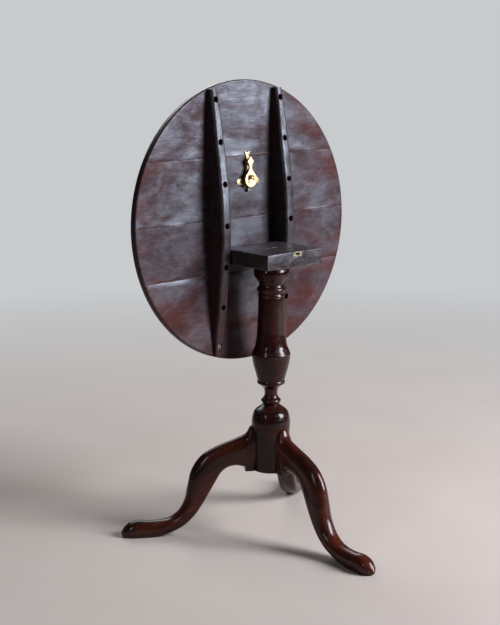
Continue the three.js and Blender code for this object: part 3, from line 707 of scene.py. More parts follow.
# ------------------------------------------------------------------ cabriole legs
# Three solid mahogany legs, sawn to shape and rounded above, each with a squared root
# against the hub, a high knee and a slipper foot that stands flat on the floor.
leg_directions = {"leg_front": -94, "leg_right": 34, "leg_left": 145}
leg_stations = [
    ((-8, 266), (-8, 158), 20), ((5, 259), (8, 160), 20), ((14, 243.5), (22, 163), 20),
    ((39, 231), (40, 166.5), 20), ((84, 213.5), (60, 162.5), 20), ((122, 190.5), (75, 150), 20.5),
    ((145, 156.5), (87.5, 129.5), 21.5), ((154, 120), (102, 104), 22.5),
    ((161, 87), (119, 75.5), 22.5), ((176, 59), (138.5, 48), 22), ((196, 43), (163, 25), 21.5),
    ((218, 38), (194.5, 8), 20.5), ((246, 37), (230, -2), 20.5), ((274, 38.5), (268, -4), 21),
    ((293, 33), (288, -4), 18.5), ((305, 21.5), (301, -2), 12.5), ((311.5, 11), (309.5, 4), 3),
]
leg_steps = 7
leg_ring = 44
root_length = 19
root_height = 45
root_half_width = 20


def leaning_spline(points, steps):
    """A centripetal curve through the points, with the first and last included."""
    points = [np.array(point, float) for point in points]
    ends = [2 * points[0] - points[1]] + points + [2 * points[-1] - points[-2]]
    found = [points[0]]
    for i in range(1, len(ends) - 2):
        before, start, end, after = ends[i - 1 : i + 3]
        gaps = [np.linalg.norm(b - a) ** 0.5 for a, b in ((before, start), (start, end), (end, after))]
        gaps = [gap if gap > 1e-3 else 1.0 for gap in gaps]
        leaving = gaps[1] * (
            (start - before) / gaps[0] - (end - before) / (gaps[0] + gaps[1]) + (end - start) / gaps[1]
        )
        arriving = gaps[1] * (
            (end - start) / gaps[1] - (after - start) / (gaps[1] + gaps[2]) + (after - end) / gaps[2]
        )
        for step in range(1, steps + 1):
            found.append(eased_step(step / steps, start, leaving, end, arriving))
    return found


def lofted(rings, name):
    """A closed skin over rings of equally many points, in metres."""
    shape = bmesh.new()
    rows = [[shape.verts.new(point) for point in ring] for ring in rings]
    for row, other in zip(rows, rows[1:]):
        for i in range(len(row)):
            j = (i + 1) % len(row)
            shape.faces.new((row[i], row[j], other[j], other[i]))
    shape.faces.new(rows[0])
    shape.faces.new(list(reversed(rows[-1])))
    bmesh.ops.recalc_face_normals(shape, faces=shape.faces[:])
    return as_mesh(shape, name)


def leg_rings():
    upper = leaning_spline([(hub_radius + top[0], top[1]) for top, _, _ in leg_stations], leg_steps)
    lower = leaning_spline([(hub_radius + foot[0], foot[1]) for _, foot, _ in leg_stations], leg_steps)
    half = leaning_spline([(width, 0) for _, _, width in leg_stations], leg_steps)
    rings = []
    for high, low, width in zip(upper, lower, half):
        middle, rise = (high + low) / 2, (high - low) / 2
        ring = []
        for j in range(leg_ring):
            angle = 2 * math.pi * j / leg_ring
            power = 2 / (2.0 if math.sin(angle) > 0 else 3.4)
            up = math.copysign(abs(math.sin(angle)) ** power, math.sin(angle))
            across = math.copysign(abs(math.cos(angle)) ** power, math.cos(angle))
            x, z = middle + rise * up
            ring.append(Vector((x, width[0] * across, max(z, 0))) * mm)
        rings.append(ring)
    return rings


leg_polish = polished_wood(
    "leg_polish", (0.006, 0.0018, 0.0014, 1), (0.074, 0.0125, 0.0055, 1), (0.20, 0.06, 0.022, 1),
    gloss=0.09, coat=0.08, dusty=0.04, seed=2.0,
)
for number, (leg, degrees) in enumerate(leg_directions.items()):
    root = block_mesh(
        Vector((hub_radius - 0.2, -root_half_width, hub_bottom)) * mm,
        Vector((hub_radius + root_length, root_half_width, hub_bottom + root_height)) * mm,
        ease=0.9 * mm,
    )
    leg_mesh = with_tool(lofted(leg_rings(), leg), root, "UNION")
    swing = Matrix.Translation(column_axis) @ Matrix.Rotation(math.radians(degrees), 4, "Z")
    leg_mesh.transform(swing)
    lay_grain(leg_mesh, swing.to_3x3() @ Vector((0.83, 0, -0.56)), (0.3 * number, 0.21, 0.4 * number))
    only(leg_mesh, leg_polish)
    shaded(leg_mesh, 38)
    piece("cabriole_" + leg, leg_mesh, "stand", "polished_mahogany", leg)

# ------------------------------------------------------------------ bracket under the hub
# A thin three-armed iron plate that ties the legs to the hub, held by hand-made nails
# with domed heads. Black with age, rusty in patches.


def eased_mesh(node, ease, segments=2, sharper_than=28):
    """The shape of a CAD piece with its facets merged and its arrises slightly rounded."""
    shape = bmesh.new()
    shape.from_mesh(frame["nodes"][node].data)
    bmesh.ops.remove_doubles(shape, verts=shape.verts[:], dist=0.002 * mm)
    bmesh.ops.dissolve_limit(
        shape, angle_limit=math.radians(0.6), verts=shape.verts[:], edges=shape.edges[:]
    )
    arrises = [
        edge for edge in shape.edges
        if len(edge.link_faces) == 2 and edge.calc_face_angle() > math.radians(sharper_than)
    ]
    bmesh.ops.bevel(
        shape, geom=arrises, offset=ease * mm, segments=segments, profile=0.5, affect="EDGES",
        clamp_overlap=True,
    )
    bmesh.ops.recalc_face_normals(shape, faces=shape.faces[:])
    return as_mesh(shape, node)


def old_metal(name, bright, dull, stain, metallic, gloss, speckle, seed):
    """Metal with a handled shine, duller in the corners, stained in small specks."""
    material = new_material(name)
    tree = material.node_tree
    place = put(tree, "ShaderNodeTexCoord").outputs["Object"]
    moved = put(tree, "ShaderNodeMapping", Vector=place, Location=(seed, seed, seed)).outputs[0]
    worn = group_node(tree, handling_and_shade, Place=moved, Arris_Width=0.0007, Corner_Reach=0.005)
    clouds = noise_at(tree, moved, 160.0, 6.0, Roughness=0.7)
    specks = noise_at(tree, moved, 900.0, 4.0, Roughness=0.6)
    cast = noise_at(tree, moved, 420.0, 3.0)
    colour = blend_colour(tree, span(tree, clouds, 0.38, 0.66), bright, dull)
    speck = times(tree, span(tree, specks, 0.56, 0.68), speckle)
    colour = blend_colour(tree, speck, colour, stain)
    colour = lay_over(tree, colour, worn["Grime_And_Shade"], 0.8, stain)
    colour = lay_over(tree, colour, worn["Rubbed"], 0.6, bright)
    roughness = plus(tree, gloss, times(tree, clouds, 0.22))
    roughness = plus(tree, roughness, times(tree, speck, 0.35))
    roughness = plus(tree, roughness, times(tree, worn["Grime_And_Shade"], 0.4), clamp=True)
    relief = plus(tree, cast, times(tree, specks, speckle))
    bump = put(tree, "ShaderNodeBump", Strength=0.3, Distance=0.00012, Height=relief)
    metal = times(tree, metallic, span(tree, speck, 0, 1, 1, 0.55))
    shader = put(
        tree, "ShaderNodeBsdfPrincipled", Roughness=roughness, Metallic=metal, Normal=bump.outputs[0]
    )
    tree.links.new(colour, shader.inputs["Base Color"])
    show(tree, shader)
    return material


black_iron = old_metal(
    "black_iron", (0.16, 0.15, 0.145, 1), (0.055, 0.05, 0.048, 1), (0.13, 0.045, 0.018, 1),
    metallic=0.85, gloss=0.42, speckle=0.8, seed=0.3,
)
bracket_mesh = shaded(eased_mesh("leg_bracket", 0.5))
bracket_mesh.materials.append(black_iron)
piece("iron_bracket", bracket_mesh, "stand", "iron", "leg_bracket")


def fixing_tree():
    """A headed screw or nail on each point: head face at the point, shank behind it."""
    made, given, result = group_tree(
        "fixings",
        "GeometryNodeTree",
        [
            ("Places", "NodeSocketGeometry", None),
            ("Head Radius", "NodeSocketFloat", 0.005),
            ("Head Height", "NodeSocketFloat", 0.003),
            ("Crown", "NodeSocketFloat", 0.0003),
            ("Countersink", "NodeSocketFloat", 0.5),
            ("Slotted", "NodeSocketBool", True),
            ("Slot Width", "NodeSocketFloat", 0.0009),
            ("Slot Depth", "NodeSocketFloat", 0.001),
            ("Shank Radius", "NodeSocketFloat", 0.002),
            ("Length", "NodeSocketFloat", 0.015),
            ("Outward", "NodeSocketVector", (0, 0, 0)),
            ("Seed", "NodeSocketInt", 3),
            ("Metal", "NodeSocketMaterial", None),
        ],
        [("Fixings", "NodeSocketGeometry")],
    )
    head = put(made, "GeometryNodeMeshCylinder", Vertices=32, **{"Side Segments": 3, "Fill Segments": 4})
    made.links.new(given["Head Radius"], head.inputs["Radius"])
    made.links.new(given["Head Height"], head.inputs["Depth"])
    position = put(made, "GeometryNodeInputPosition").outputs[0]
    spot = put(made, "ShaderNodeSeparateXYZ", Vector=position).outputs
    half = times(made, given["Head Height"], 0.5)
    lifted = minus(made, spot["Z"], half)
    depth_share = maths(made, "DIVIDE", times(made, lifted, -1.0), given["Head Height"])
    narrow = minus(made, 1.0, times(made, depth_share, given["Countersink"]))
    squares = [times(made, spot[axis], spot[axis]) for axis in "XY"]
    radius = maths(made, "SQRT", plus(made, *squares))
    share = maths(made, "DIVIDE", radius, given["Head Radius"])
    fall = minus(made, times(made, share, share), 1.0)
    dome = times(made, given["Crown"], fall)
    on_face = minus(made, 1.0, depth_share, clamp=True)
    crowned = minus(made, lifted, times(made, dome, on_face))
    crowned = minus(made, crowned, times(made, given["Crown"], on_face))
    new_spot = put(
        made, "ShaderNodeCombineXYZ", X=times(made, spot["X"], narrow),
        Y=times(made, spot["Y"], narrow), Z=crowned,
    ).outputs[0]
    shaped = put(made, "GeometryNodeSetPosition", Geometry=head.outputs["Mesh"], Position=new_spot)
    slot_size = put(
        made, "ShaderNodeCombineXYZ", X=times(made, given["Head Radius"], 2.6),
        Y=given["Slot Width"], Z=times(made, given["Slot Depth"], 2.0),
    )
    saw = put(made, "GeometryNodeMeshCube", Size=slot_size.outputs[0])
    cut = put(made, "GeometryNodeMeshBoolean", operation="DIFFERENCE", solver="EXACT")
    made.links.new(shaped.outputs[0], cut.inputs[0])
    made.links.new(saw.outputs["Mesh"], cut.inputs[1])
    choice = put(made, "GeometryNodeSwitch", input_type="GEOMETRY", Switch=given["Slotted"])
    made.links.new(shaped.outputs[0], choice.inputs["False"])
    made.links.new(cut.outputs[0], choice.inputs["True"])
    shank = put(made, "GeometryNodeMeshCylinder", Vertices=14, **{"Side Segments": 1, "Fill Segments": 1})
    made.links.new(given["Shank Radius"], shank.inputs["Radius"])
    shank_length = minus(made, given["Length"], half)
    made.links.new(shank_length, shank.inputs["Depth"])
    sunk = times(made, plus(made, times(made, shank_length, 0.5), half), -1.0)
    down = put(made, "ShaderNodeCombineXYZ", Z=sunk).outputs[0]
    lowered = put(made, "GeometryNodeTransform", Geometry=shank.outputs["Mesh"], Translation=down)
    both = put(made, "GeometryNodeJoinGeometry")
    made.links.new(lowered.outputs[0], both.inputs[0])
    made.links.new(choice.outputs[0], both.inputs[0])
    spin = put(made, "FunctionNodeRandomValue", data_type="FLOAT", Seed=given["Seed"])
    spin.inputs["Min"].default_value = 0.0
    for socket in spin.inputs:
        if socket.name == "Max" and socket.type == "VALUE" and socket.enabled:
            socket.default_value = math.pi
    angle = put(made, "ShaderNodeCombineXYZ", Z=[o for o in spin.outputs if o.enabled][0]).outputs[0]
    spun = put(made, "FunctionNodeEulerToRotation")
    made.links.new(angle, spun.inputs[0])
    faced = put(made, "FunctionNodeEulerToRotation")
    made.links.new(given["Outward"], faced.inputs[0])
    turned = put(made, "FunctionNodeRotateRotation", rotation_space="LOCAL")
    made.links.new(faced.outputs[0], turned.inputs[0])
    made.links.new(spun.outputs[0], turned.inputs[1])
    placed = put(
        made, "GeometryNodeInstanceOnPoints", Points=given["Places"], Instance=both.outputs[0],
        Rotation=turned.outputs[0],
    )
    whole = put(made, "GeometryNodeRealizeInstances", Geometry=placed.outputs[0])
    painted = put(made, "GeometryNodeSetMaterial", Geometry=whole.outputs[0], Material=given["Metal"])
    made.links.new(painted.outputs[0], result["Fixings"])
    return made


fixings = fixing_tree()


def fixings_at(nodes, outward, **sizes):
    """Screws or nails where the CAD ones stand, their heads facing outward."""
    outward = Vector(outward).normalized()
    shape = bmesh.new()
    for node in nodes:
        low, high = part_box(node)
        reach = max(abs((high - low).dot(outward)), 0.001) / 2
        tilt = math.sqrt(max(0.0, 1 - max(abs(part) for part in outward) ** 2))
        shape.verts.new((low + high) / 2 + outward * (reach - 0.002 * tilt))
    places = bpy.data.objects.new("places", as_mesh(shape, "places"))
    scene.collection.objects.link(places)
    facing = outward.to_track_quat("Z", "Y").to_euler()
    return shaded(made_by_nodes(places, fixings, Outward=tuple(facing), **sizes), 30)


nail_nodes = ["bracket_nail_%d" % number for number in range(1, 8)]
nails = fixings_at(
    nail_nodes, (0, 0, -1), Head_Radius=4 * mm, Head_Height=1.6 * mm, Crown=0.9 * mm, Countersink=0.12,
    Slotted=False, Shank_Radius=1.6 * mm, Length=14 * mm, Seed=5, Metal=black_iron,
)
piece("bracket_nails", nails, "stand", "iron", *nail_nodes)

# ------------------------------------------------------------------ hinge block
# A squared block of mahogany on the column's tenon, its upper back edge rounded on the
# hinge axis and its back planed to the lean of the tipped top. Left dry, darkened by hands.
hinge = Vector(joints["top_tilt"]["pos_m"])
up_the_top = Vector(joints["catch_slide"]["axis"]).normalized()
lean = math.asin(up_the_top.y)
block_low, block_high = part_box("hinge_block")
back_radius = 17 * mm


def block_outline():
    edge = [(block_low.y, block_low.z)]
    planed = back_radius * (math.cos(lean) - math.sin(lean))
    edge.append((hinge.y + planed, block_low.z))
    for step in range(25):
        angle = -lean + (math.pi / 2 + lean) * step / 24
        edge.append((hinge.y + back_radius * math.cos(angle), hinge.z + back_radius * math.sin(angle)))
    edge.append((block_low.y, block_high.z))
    return edge


def sawn_across(edge, left, right, ease, name):
    """An outline in (y, z) sawn out between two ends along X, with eased arrises."""
    shape = bmesh.new()
    near = [shape.verts.new((left, y, z)) for y, z in edge]
    far = [shape.verts.new((right, y, z)) for y, z in edge]
    shape.faces.new(near)
    shape.faces.new(list(reversed(far)))
    for i in range(len(edge)):
        j = (i + 1) % len(edge)
        shape.faces.new((near[j], near[i], far[i], far[j]))
    bmesh.ops.recalc_face_normals(shape, faces=shape.faces[:])
    arrises = [edge for edge in shape.edges if edge.calc_face_angle() > math.radians(30)]
    bmesh.ops.bevel(shape, geom=arrises, offset=ease, segments=3, profile=0.5, affect="EDGES")
    return as_mesh(shape, name)


def rod_mesh(radius, start, end, sides=64):
    """A round cutter between two points."""
    start, end = Vector(start), Vector(end)
    shape = bmesh.new()
    bmesh.ops.create_cone(
        shape, cap_ends=True, segments=sides, radius1=radius, radius2=radius, depth=(end - start).length
    )
    mesh = as_mesh(shape, "rod")
    turn = (end - start).to_track_quat("Z", "Y").to_matrix().to_4x4()
    mesh.transform(Matrix.Translation((start + end) / 2) @ turn)
    return mesh


def dry_wood(
    name, dark, light, red, edge, gloss, bloom=0.6, seed=0.0, streaks=240.0, patch=14.0, arris=0.0015,
    dusty=0.0, scuffed=0.25,
):
    """Unpolished wood that age and hands have darkened, with a cloudy blue-grey bloom."""
    material = new_material(name)
    tree = material.node_tree
    spot = put(tree, "ShaderNodeAttribute", attribute_name="grain_place").outputs["Vector"]
    grain = group_node(tree, wood_grain, Place=spot, Streaks=streaks, Seed=seed)
    worn = group_node(tree, handling_and_shade, Place=spot, Arris_Width=arris, Corner_Reach=0.005)
    warmth = put(tree, "ShaderNodeAttribute", attribute_name="rubbed_red").outputs["Fac"]
    drawn = put(tree, "ShaderNodeMapping", Vector=spot, Scale=(1.0, 1.0, 0.55), Location=(seed, seed, seed))
    clouds = noise_at(tree, drawn.outputs[0], patch, 8.0, Roughness=0.62, Distortion=0.6)
    smears = noise_at(tree, drawn.outputs[0], patch * 5, 7.0, Roughness=0.66, Distortion=0.8)
    cloud = span(tree, clouds, 0.40, 0.60)
    smear = span(tree, smears, 0.30, 0.70)
    tone = times(tree, span(tree, smears, 0.3, 0.7), span(tree, grain["Streak"], 0, 1, 0.6, 1.0))
    colour = blend_colour(tree, tone, dark, light)
    redness = plus(tree, warmth, span(tree, clouds, 0.60, 0.36, -0.25, 0.35), clamp=True)
    redness = times(tree, redness, span(tree, grain["Figure"], 0.1, 0.75, 0.4, 1.0))
    redness = times(tree, redness, span(tree, smear, 0, 1, 1.0, 0.45), clamp=True)
    colour = blend_colour(tree, redness, colour, red)
    colour = lay_over(tree, colour, grain["Pore"], 0.6, (0.005, 0.003, 0.003, 1))
    colour = lay_over(tree, colour, worn["Rubbed"], 0.85, edge)
    slanting = put(
        tree, "ShaderNodeMapping", Vector=spot, Scale=(1.0, 9.0, 0.5), Rotation=(0.3, 0.2, 0.9)
    )
    scratch = noise_at(tree, slanting.outputs[0], 70.0, 3.0, Distortion=0.4)
    scuff = times(tree, span(tree, scratch, 0.56, 0.74), scuffed)
    colour = blend_colour(tree, scuff, colour, edge)
    # Dust film on upward faces, pale blue-grey. On the block's top it is partly real dust and partly a
    # painted sheen.
    settled = group_node(tree, dust, Place=spot, Amount=dusty)["Film"]
    colour = blend_colour(tree, settled, colour, (0.15, 0.125, 0.14, 1))
    # Painted shade with some grime: darker in corners and recesses, beside the battens and down the screw
    # bores.
    colour = lay_over(tree, colour, worn["Grime_And_Shade"], 0.8, (0.004, 0.002, 0.002, 1))
    film = times(tree, span(tree, cloud, 0, 1, 0.3, 1.0), span(tree, smear, 0, 1, 0.6, 1.0))
    film = times(tree, film, span(tree, redness, 0, 1, 1.0, 0.35))
    roughness = minus(tree, gloss + 0.16, times(tree, film, 0.16))
    along_the_plane = put(tree, "ShaderNodeMapping", Vector=spot, Scale=(1.0, 1.0, 0.3))
    planed = noise_at(tree, along_the_plane.outputs[0], 26.0, 3.0)
    streaks_up = times(tree, grain["Streak"], 0.3)
    relief = plus(tree, times(tree, planed, 0.8), streaks_up)
    relief = plus(tree, relief, times(tree, smears, 0.4))
    relief = minus(tree, relief, grain["Pore"])
    bump = put(tree, "ShaderNodeBump", Strength=0.4, Distance=0.0004, Height=relief)
    shader = put(
        tree, "ShaderNodeBsdfPrincipled", Roughness=roughness, Normal=bump.outputs[0],
        **{"Specular IOR Level": times(tree, film, bloom)},
    )
    tree.links.new(colour, shader.inputs["Base Color"])
    shader.inputs["Specular Tint"].default_value = (0.80, 0.86, 1.0, 1)
    show(tree, shader)
    return material


def mark_rubbed(mesh, how_red):
    """Stores how far each spot is rubbed through to the red wood, from its place."""
    layer = mesh.attributes.new("rubbed_red", "FLOAT", "POINT")
    layer.data.foreach_set("value", [how_red(vertex.co) for vertex in mesh.vertices])
    return mesh


# The block's dust film (0.3) lightens its top: partly real dust, partly a painted sheen.
block_dark = dry_wood(
    "block_wood", (0.004, 0.0026, 0.0028, 1), (0.030, 0.022, 0.025, 1), (0.034, 0.014, 0.011, 1),
    (0.34, 0.27, 0.27, 1), gloss=0.32, bloom=0.75, seed=6.0, patch=34.0, arris=0.004, dusty=0.3,
    scuffed=0.22,
)
block_shape = sawn_across(block_outline(), block_low.x, block_high.x, 1.1 * mm, "block")
hole_low = column_axis + Vector((0, 0, block_low.z - 2 * mm))
hole_high = column_axis + Vector((0, 0, block_high.z + 2 * mm))
block_shape = with_tool(block_shape, rod_mesh((tenon_radius + 0.35) * mm, hole_low, hole_high))
keeper_low, keeper_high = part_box("keeper_plate")
recess_room = 0.3 * mm
recess = block_mesh(
    (keeper_low.x - recess_room, keeper_low.y - 3 * mm, keeper_low.z - recess_room),
    (keeper_high.x + recess_room, keeper_high.y + recess_room, keeper_high.z + 3 * mm),
)
block_shape = with_tool(block_shape, recess)
keeper_middle = (keeper_low.x + keeper_high.x) / 2
pocket_middle = block_high.z - 4.9 * mm
pocket = block_mesh(
    (keeper_middle - 6 * mm, keeper_low.y - 3 * mm, pocket_middle - 2.6 * mm),
    (keeper_middle + 6 * mm, keeper_low.y + 8.6 * mm, pocket_middle + 2.6 * mm),
)
block_shape = with_tool(block_shape, pocket)


def pin_hole(side):
    """A cutter for the hole that a hinge pin sits in, a little easy on the pin."""
    low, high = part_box("pivot_pin_" + side)
    middle = (low + high) / 2
    end = Vector(((high.x - low.x) / 2 + 0.4 * mm, 0, 0))
    return rod_mesh((high.z - low.z) / 2 + 0.25 * mm, middle - end, middle + end, 36)


for side in ("left", "right"):
    block_shape = with_tool(block_shape, pin_hole(side))
lay_grain(block_shape, (1, 0, 0), (0.4, 0.9, 0.1))
mark_rubbed(block_shape, lambda spot: 0.12)
only(block_shape, block_dark)
piece("block", shaded(block_shape, 30), "stand", "block_wood", "hinge_block")

pale_wedge = end_grain_wood("wedge_end", (0.02, 0.012, 0.009, 1), (0.085, 0.05, 0.035, 1), 9.0)
wedge_mesh = shaded(lay_grain(eased_mesh("tenon_wedge", 0.15), (0, 0, 1), (0.2, 0.2, 0)))
wedge_mesh.materials.append(pale_wedge)
piece("wedge", wedge_mesh, "stand", "pin_wood", "tenon_wedge")

pin_wood = dry_wood(
    "pin_wood", (0.02, 0.010, 0.007, 1), (0.08, 0.042, 0.026, 1), (0.10, 0.045, 0.024, 1),
    (0.2, 0.12, 0.08, 1), gloss=0.38, seed=3.0,
)
for side in ("left", "right"):
    pin_mesh = shaded(lay_grain(eased_mesh("pivot_pin_" + side, 0.4), (1, 0, 0), (0.1, 0.3, 0)))
    pin_mesh.materials.append(pin_wood)
    mark_rubbed(pin_mesh, lambda spot: 0.5)
    piece("hinge_pin_" + side, pin_mesh, "stand", "pin_wood", "pivot_pin_" + side)

# ------------------------------------------------------------------ brass keeper
# A small brass plate let in flush at the top of the block's front face, slotted for the
# bolt and held by two countersunk brass screws.
yellow_brass = old_metal(
    "yellow_brass", (0.60, 0.46, 0.26, 1), (0.42, 0.30, 0.14, 1), (0.05, 0.03, 0.014, 1),
    metallic=1.0, gloss=0.26, speckle=0.25, seed=1.7,
)
worn_brass = old_metal(
    "worn_brass", (0.30, 0.25, 0.165, 1), (0.075, 0.058, 0.036, 1), (0.015, 0.01, 0.008, 1),
    metallic=0.8, gloss=0.42, speckle=0.8, seed=4.1,
)
keeper_mesh = shaded(eased_mesh("keeper_plate", 0.25))
keeper_mesh.materials.append(worn_brass)
piece("keeper", keeper_mesh, "stand", "brass", "keeper_plate")
small_screw = dict(
    Head_Radius=2.6 * mm, Head_Height=1.5 * mm, Crown=0.15 * mm, Countersink=0.5, Slotted=True,
    Slot_Width=0.55 * mm, Slot_Depth=0.6 * mm, Shank_Radius=1.3 * mm, Length=9 * mm, Metal=yellow_brass,
)
keeper_screw_nodes = ["keeper_screw_left", "keeper_screw_right"]
keeper_screws = fixings_at(keeper_screw_nodes, (0, -1, 0), Seed=11, **{**small_screw, "Metal": worn_brass})
piece("keeper_screws", keeper_screws, "stand", "brass", *keeper_screw_nodes)

# ------------------------------------------------------------------ round top
# Four wide mahogany boards glued edge to edge and turned round: the show face polished,
# the underside left from the plane, its joints opened a little and rubbed pale.
tipped = Matrix.Translation(hinge) @ Matrix.Rotation(-lean, 4, "X")
out_of_the_top = tipped.to_3x3() @ Vector((0, -1, 0))
top_radius = 324
top_thickness = 18
top_centre = 71
board_joints = [152, 10, -114]
joint_gap = 0.3
underside = 17.3
rim_round = 4
joint_ease = 0.7
board_columns = 96
board_rows = 30


def rim_layers():
    """(depth from the underside, radius, how far the joint edges are eased)"""
    layers = []
    for step in range(7):
        angle = math.pi / 2 * step / 6
        depth = rim_round * (1 - math.cos(angle))
        layers.append((depth, top_radius - rim_round * (1 - math.sin(angle)), max(0, joint_ease - depth)))
    upper = [(top_thickness - depth, radius, ease * 0.3) for depth, radius, ease in reversed(layers)]
    return layers + upper


def board_row_heights(upper, lower, radius):
    start = math.asin(max(-1, lower / radius))
    end = math.asin(min(1, upper / radius))
    angles = [start + (end - start) * i / board_rows for i in range(board_rows + 1)]
    return [(radius * math.sin(angle), radius * math.cos(angle)) for angle in angles]


def board_mesh(number, upper, lower):
    """One board: a grid on each face and a ring of edges between them."""
    shape = bmesh.new()
    layers = rim_layers()

    def row_points(depth, radius, ease):
        high = min(upper - ease, radius) if upper < top_radius else radius
        low = max(lower + ease, -radius) if lower > -top_radius else -radius
        rows = []
        for height, half in board_row_heights(high, low, radius):
            spread = [-half + 2 * half * i / board_columns for i in range(board_columns + 1)]
            rows.append([(x, depth, height) for x in spread])
        return rows

    def edge_ring(rows):
        ring = list(rows[0])
        ring += [row[-1] for row in rows[1:-1]]
        ring += list(reversed(rows[-1]))
        ring += [row[0] for row in reversed(rows[1:-1])]
        return ring

    def spot(x, depth, height):
        hollow = 0.0
        if depth == 0:
            wave = noise.noise(Vector((x * 0.012, height * 0.025, number * 7.7)))
            across = (height - lower) / (upper - lower)
            hollow = (0.35 * 4 * across * (1 - across) + 0.25 * (wave + 0.5)) * (
                1 - min(1, (math.hypot(x, height) / top_radius) ** 8)
            )
        return Vector((x, underside + depth + hollow, top_centre + height)) * mm

    faces_rows = {}
    for depth, radius, ease in (layers[0], layers[-1]):
        rows = row_points(depth, radius, ease)
        made_rows = [[shape.verts.new(spot(*point)) for point in row] for row in rows]
        for row, other in zip(made_rows, made_rows[1:]):
            for i in range(board_columns):
                shape.faces.new((row[i], row[i + 1], other[i + 1], other[i]))
        faces_rows[depth] = edge_ring(made_rows)
    rings = [faces_rows[layers[0][0]]]
    for layer in layers[1:-1]:
        rings.append([shape.verts.new(spot(*point)) for point in edge_ring(row_points(*layer))])
    rings.append(faces_rows[layers[-1][0]])
    for ring, other in zip(rings, rings[1:]):
        for i in range(len(ring)):
            j = (i + 1) % len(ring)
            shape.faces.new((ring[i], ring[j], other[j], other[i]))
    bmesh.ops.remove_doubles(shape, verts=shape.verts[:], dist=0.004 * mm)
    bmesh.ops.dissolve_degenerate(shape, edges=shape.edges[:], dist=0.002 * mm)
    bmesh.ops.recalc_face_normals(shape, faces=shape.faces[:])
    return as_mesh(shape, "board")


dry_underside = dry_wood(
    "dry_underside", (0.007, 0.0038, 0.005, 1), (0.030, 0.0175, 0.023, 1), (0.058, 0.0125, 0.0085, 1),
    (0.22, 0.13, 0.12, 1), gloss=0.36, bloom=0.85, seed=1.0, streaks=170.0, patch=12.0, arris=0.003,
    scuffed=0.1,
)
top_polish = polished_wood(
    "top_polish", (0.016, 0.005, 0.0035, 1), (0.105, 0.024, 0.011, 1), (0.18, 0.06, 0.028, 1),
    gloss=0.16, coat=0.2, dusty=0.0, seed=8.0,
)
rim_polish = polished_wood(
    "rim_polish", (0.006, 0.003, 0.0025, 1), (0.035, 0.011, 0.008, 1), (0.16, 0.07, 0.045, 1),
    gloss=0.3, coat=0.1, dusty=0.0, seed=5.0, arris=0.0035,
)


def red_on_the_underside(spot):
    """Hands have rubbed the dark skin off near the rim, most on the lowest board."""
    x, _, z = tipped.inverted() @ spot / mm
    height = z - top_centre
    out = math.hypot(x, height) / top_radius
    patch = noise.noise(Vector((x * 0.011, height * 0.02, 3.3))) + 0.5
    near_rim = max(0, out - 0.45) / 0.55
    low = min(1, max(0, (-height - 60) / 160))
    right = min(1, max(0, (x - 120) / 160))
    left = min(1, max(0, (-x - 200) / 100))
    amount = 0.10 + near_rim * (0.25 + 0.75 * low + 0.65 * right + 0.4 * left) * (0.35 + patch)
    amount += 0.35 * low * patch
    return min(1, max(0, amount))


board_edges = [top_radius] + board_joints + [-top_radius]
for number in range(4):
    upper = board_edges[number] - (joint_gap / 2 if number else 0)
    lower = board_edges[number + 1] + (joint_gap / 2 if number < 3 else 0)
    board = board_mesh(number, upper, lower)
    board.transform(tipped)
    lay_grain(board, (1, 0, 0), (0.37 * number, 0.83 * number, 0.5 * number))
    mark_rubbed(board, red_on_the_underside)
    for material in (dry_underside, top_polish, rim_polish):
        board.materials.append(material)
    for face in board.polygons:
        facing = face.normal.dot(out_of_the_top)
        face.material_index = 0 if facing > 0.6 else 1 if facing < -0.8 else 2
    node = "top_board_%d" % (number + 1)
    piece("board_%d" % (number + 1), shaded(board, 40), "top", "board_wood", node)

# ------------------------------------------------------------------ battens
# Two bowed mahogany battens across the boards, deepest at the hinge, tapered in width and
# depth to both ends, bored deep for screws so that the screws could be short.
batten_half_length = 304
batten_depths = [15, 25, 31, 39, 46.5, 47, 41, 33, 24, 14, 7]
batten_stations = [1, 0.8, 0.62, 0.4, 0.14, -0.07, -0.28, -0.48, -0.67, -0.85, -1]
batten_plan = [(1, 19), (0.6, 25.8), (0.25, 27), (-0.25, 27), (-0.6, 25.8), (-1, 19)]
batten_seat = 17.0
batten_middle = 99.4
wood_under_head = 5.5
bore_radius = 6.5
mouth_wear = 1.2
batten_slices = 150
arris_round = 6.5


def along_curve(pairs, steps=16):
    """A smooth bow through the pairs: the curve's shares, then its heights."""
    line = np.array(sorted(leaning_spline(pairs, steps), key=lambda point: point[0]))
    shares = np.linspace(-1, 1, 241)
    heights = np.interp(shares, line[:, 0], line[:, 1])
    reach = 14
    for _ in range(2):
        before = 2 * heights[0] - heights[reach:0:-1]
        after = 2 * heights[-1] - heights[-2 : -2 - reach : -1]
        padded = np.concatenate((before, heights, after))
        heights = np.convolve(padded, np.full(2 * reach + 1, 1 / (2 * reach + 1)), "valid")
    return shares, heights


depth_curve = along_curve(list(zip(batten_stations, batten_depths)))
width_curve = along_curve(batten_plan)


def batten_ring(share, side):
    """The batten's section: square on the boards, its two outer arrises rounded off."""
    depth = np.interp(share, *depth_curve)
    half = np.interp(share, *width_curve) / 2
    round_off = min(arris_round, depth * 0.45)
    face = batten_seat - depth
    line = [(-half, batten_seat)] + [
        (-half, batten_seat + (face + round_off - batten_seat) * i / 5) for i in range(1, 5)
    ]
    for step in range(9):
        angle = math.pi / 2 * step / 8
        line.append((-half + round_off * (1 - math.cos(angle)), face + round_off * (1 - math.sin(angle))))
    line += [(-x, y) for x, y in reversed(line)]
    height = top_centre + share * batten_half_length
    return [Vector((side * batten_middle + x, y, height)) * mm for x, y in line]


batten_wood = dry_wood(
    "batten_wood", (0.006, 0.0035, 0.0035, 1), (0.026, 0.018, 0.020, 1), (0.048, 0.013, 0.009, 1),
    (0.10, 0.055, 0.05, 1), gloss=0.27, bloom=0.9, seed=12.0, streaks=300.0, patch=22.0, arris=0.003,
)
last_screw = batten_half_length - 22
screw_heights = [top_centre + last_screw - i * last_screw / 3 for i in range(7)]


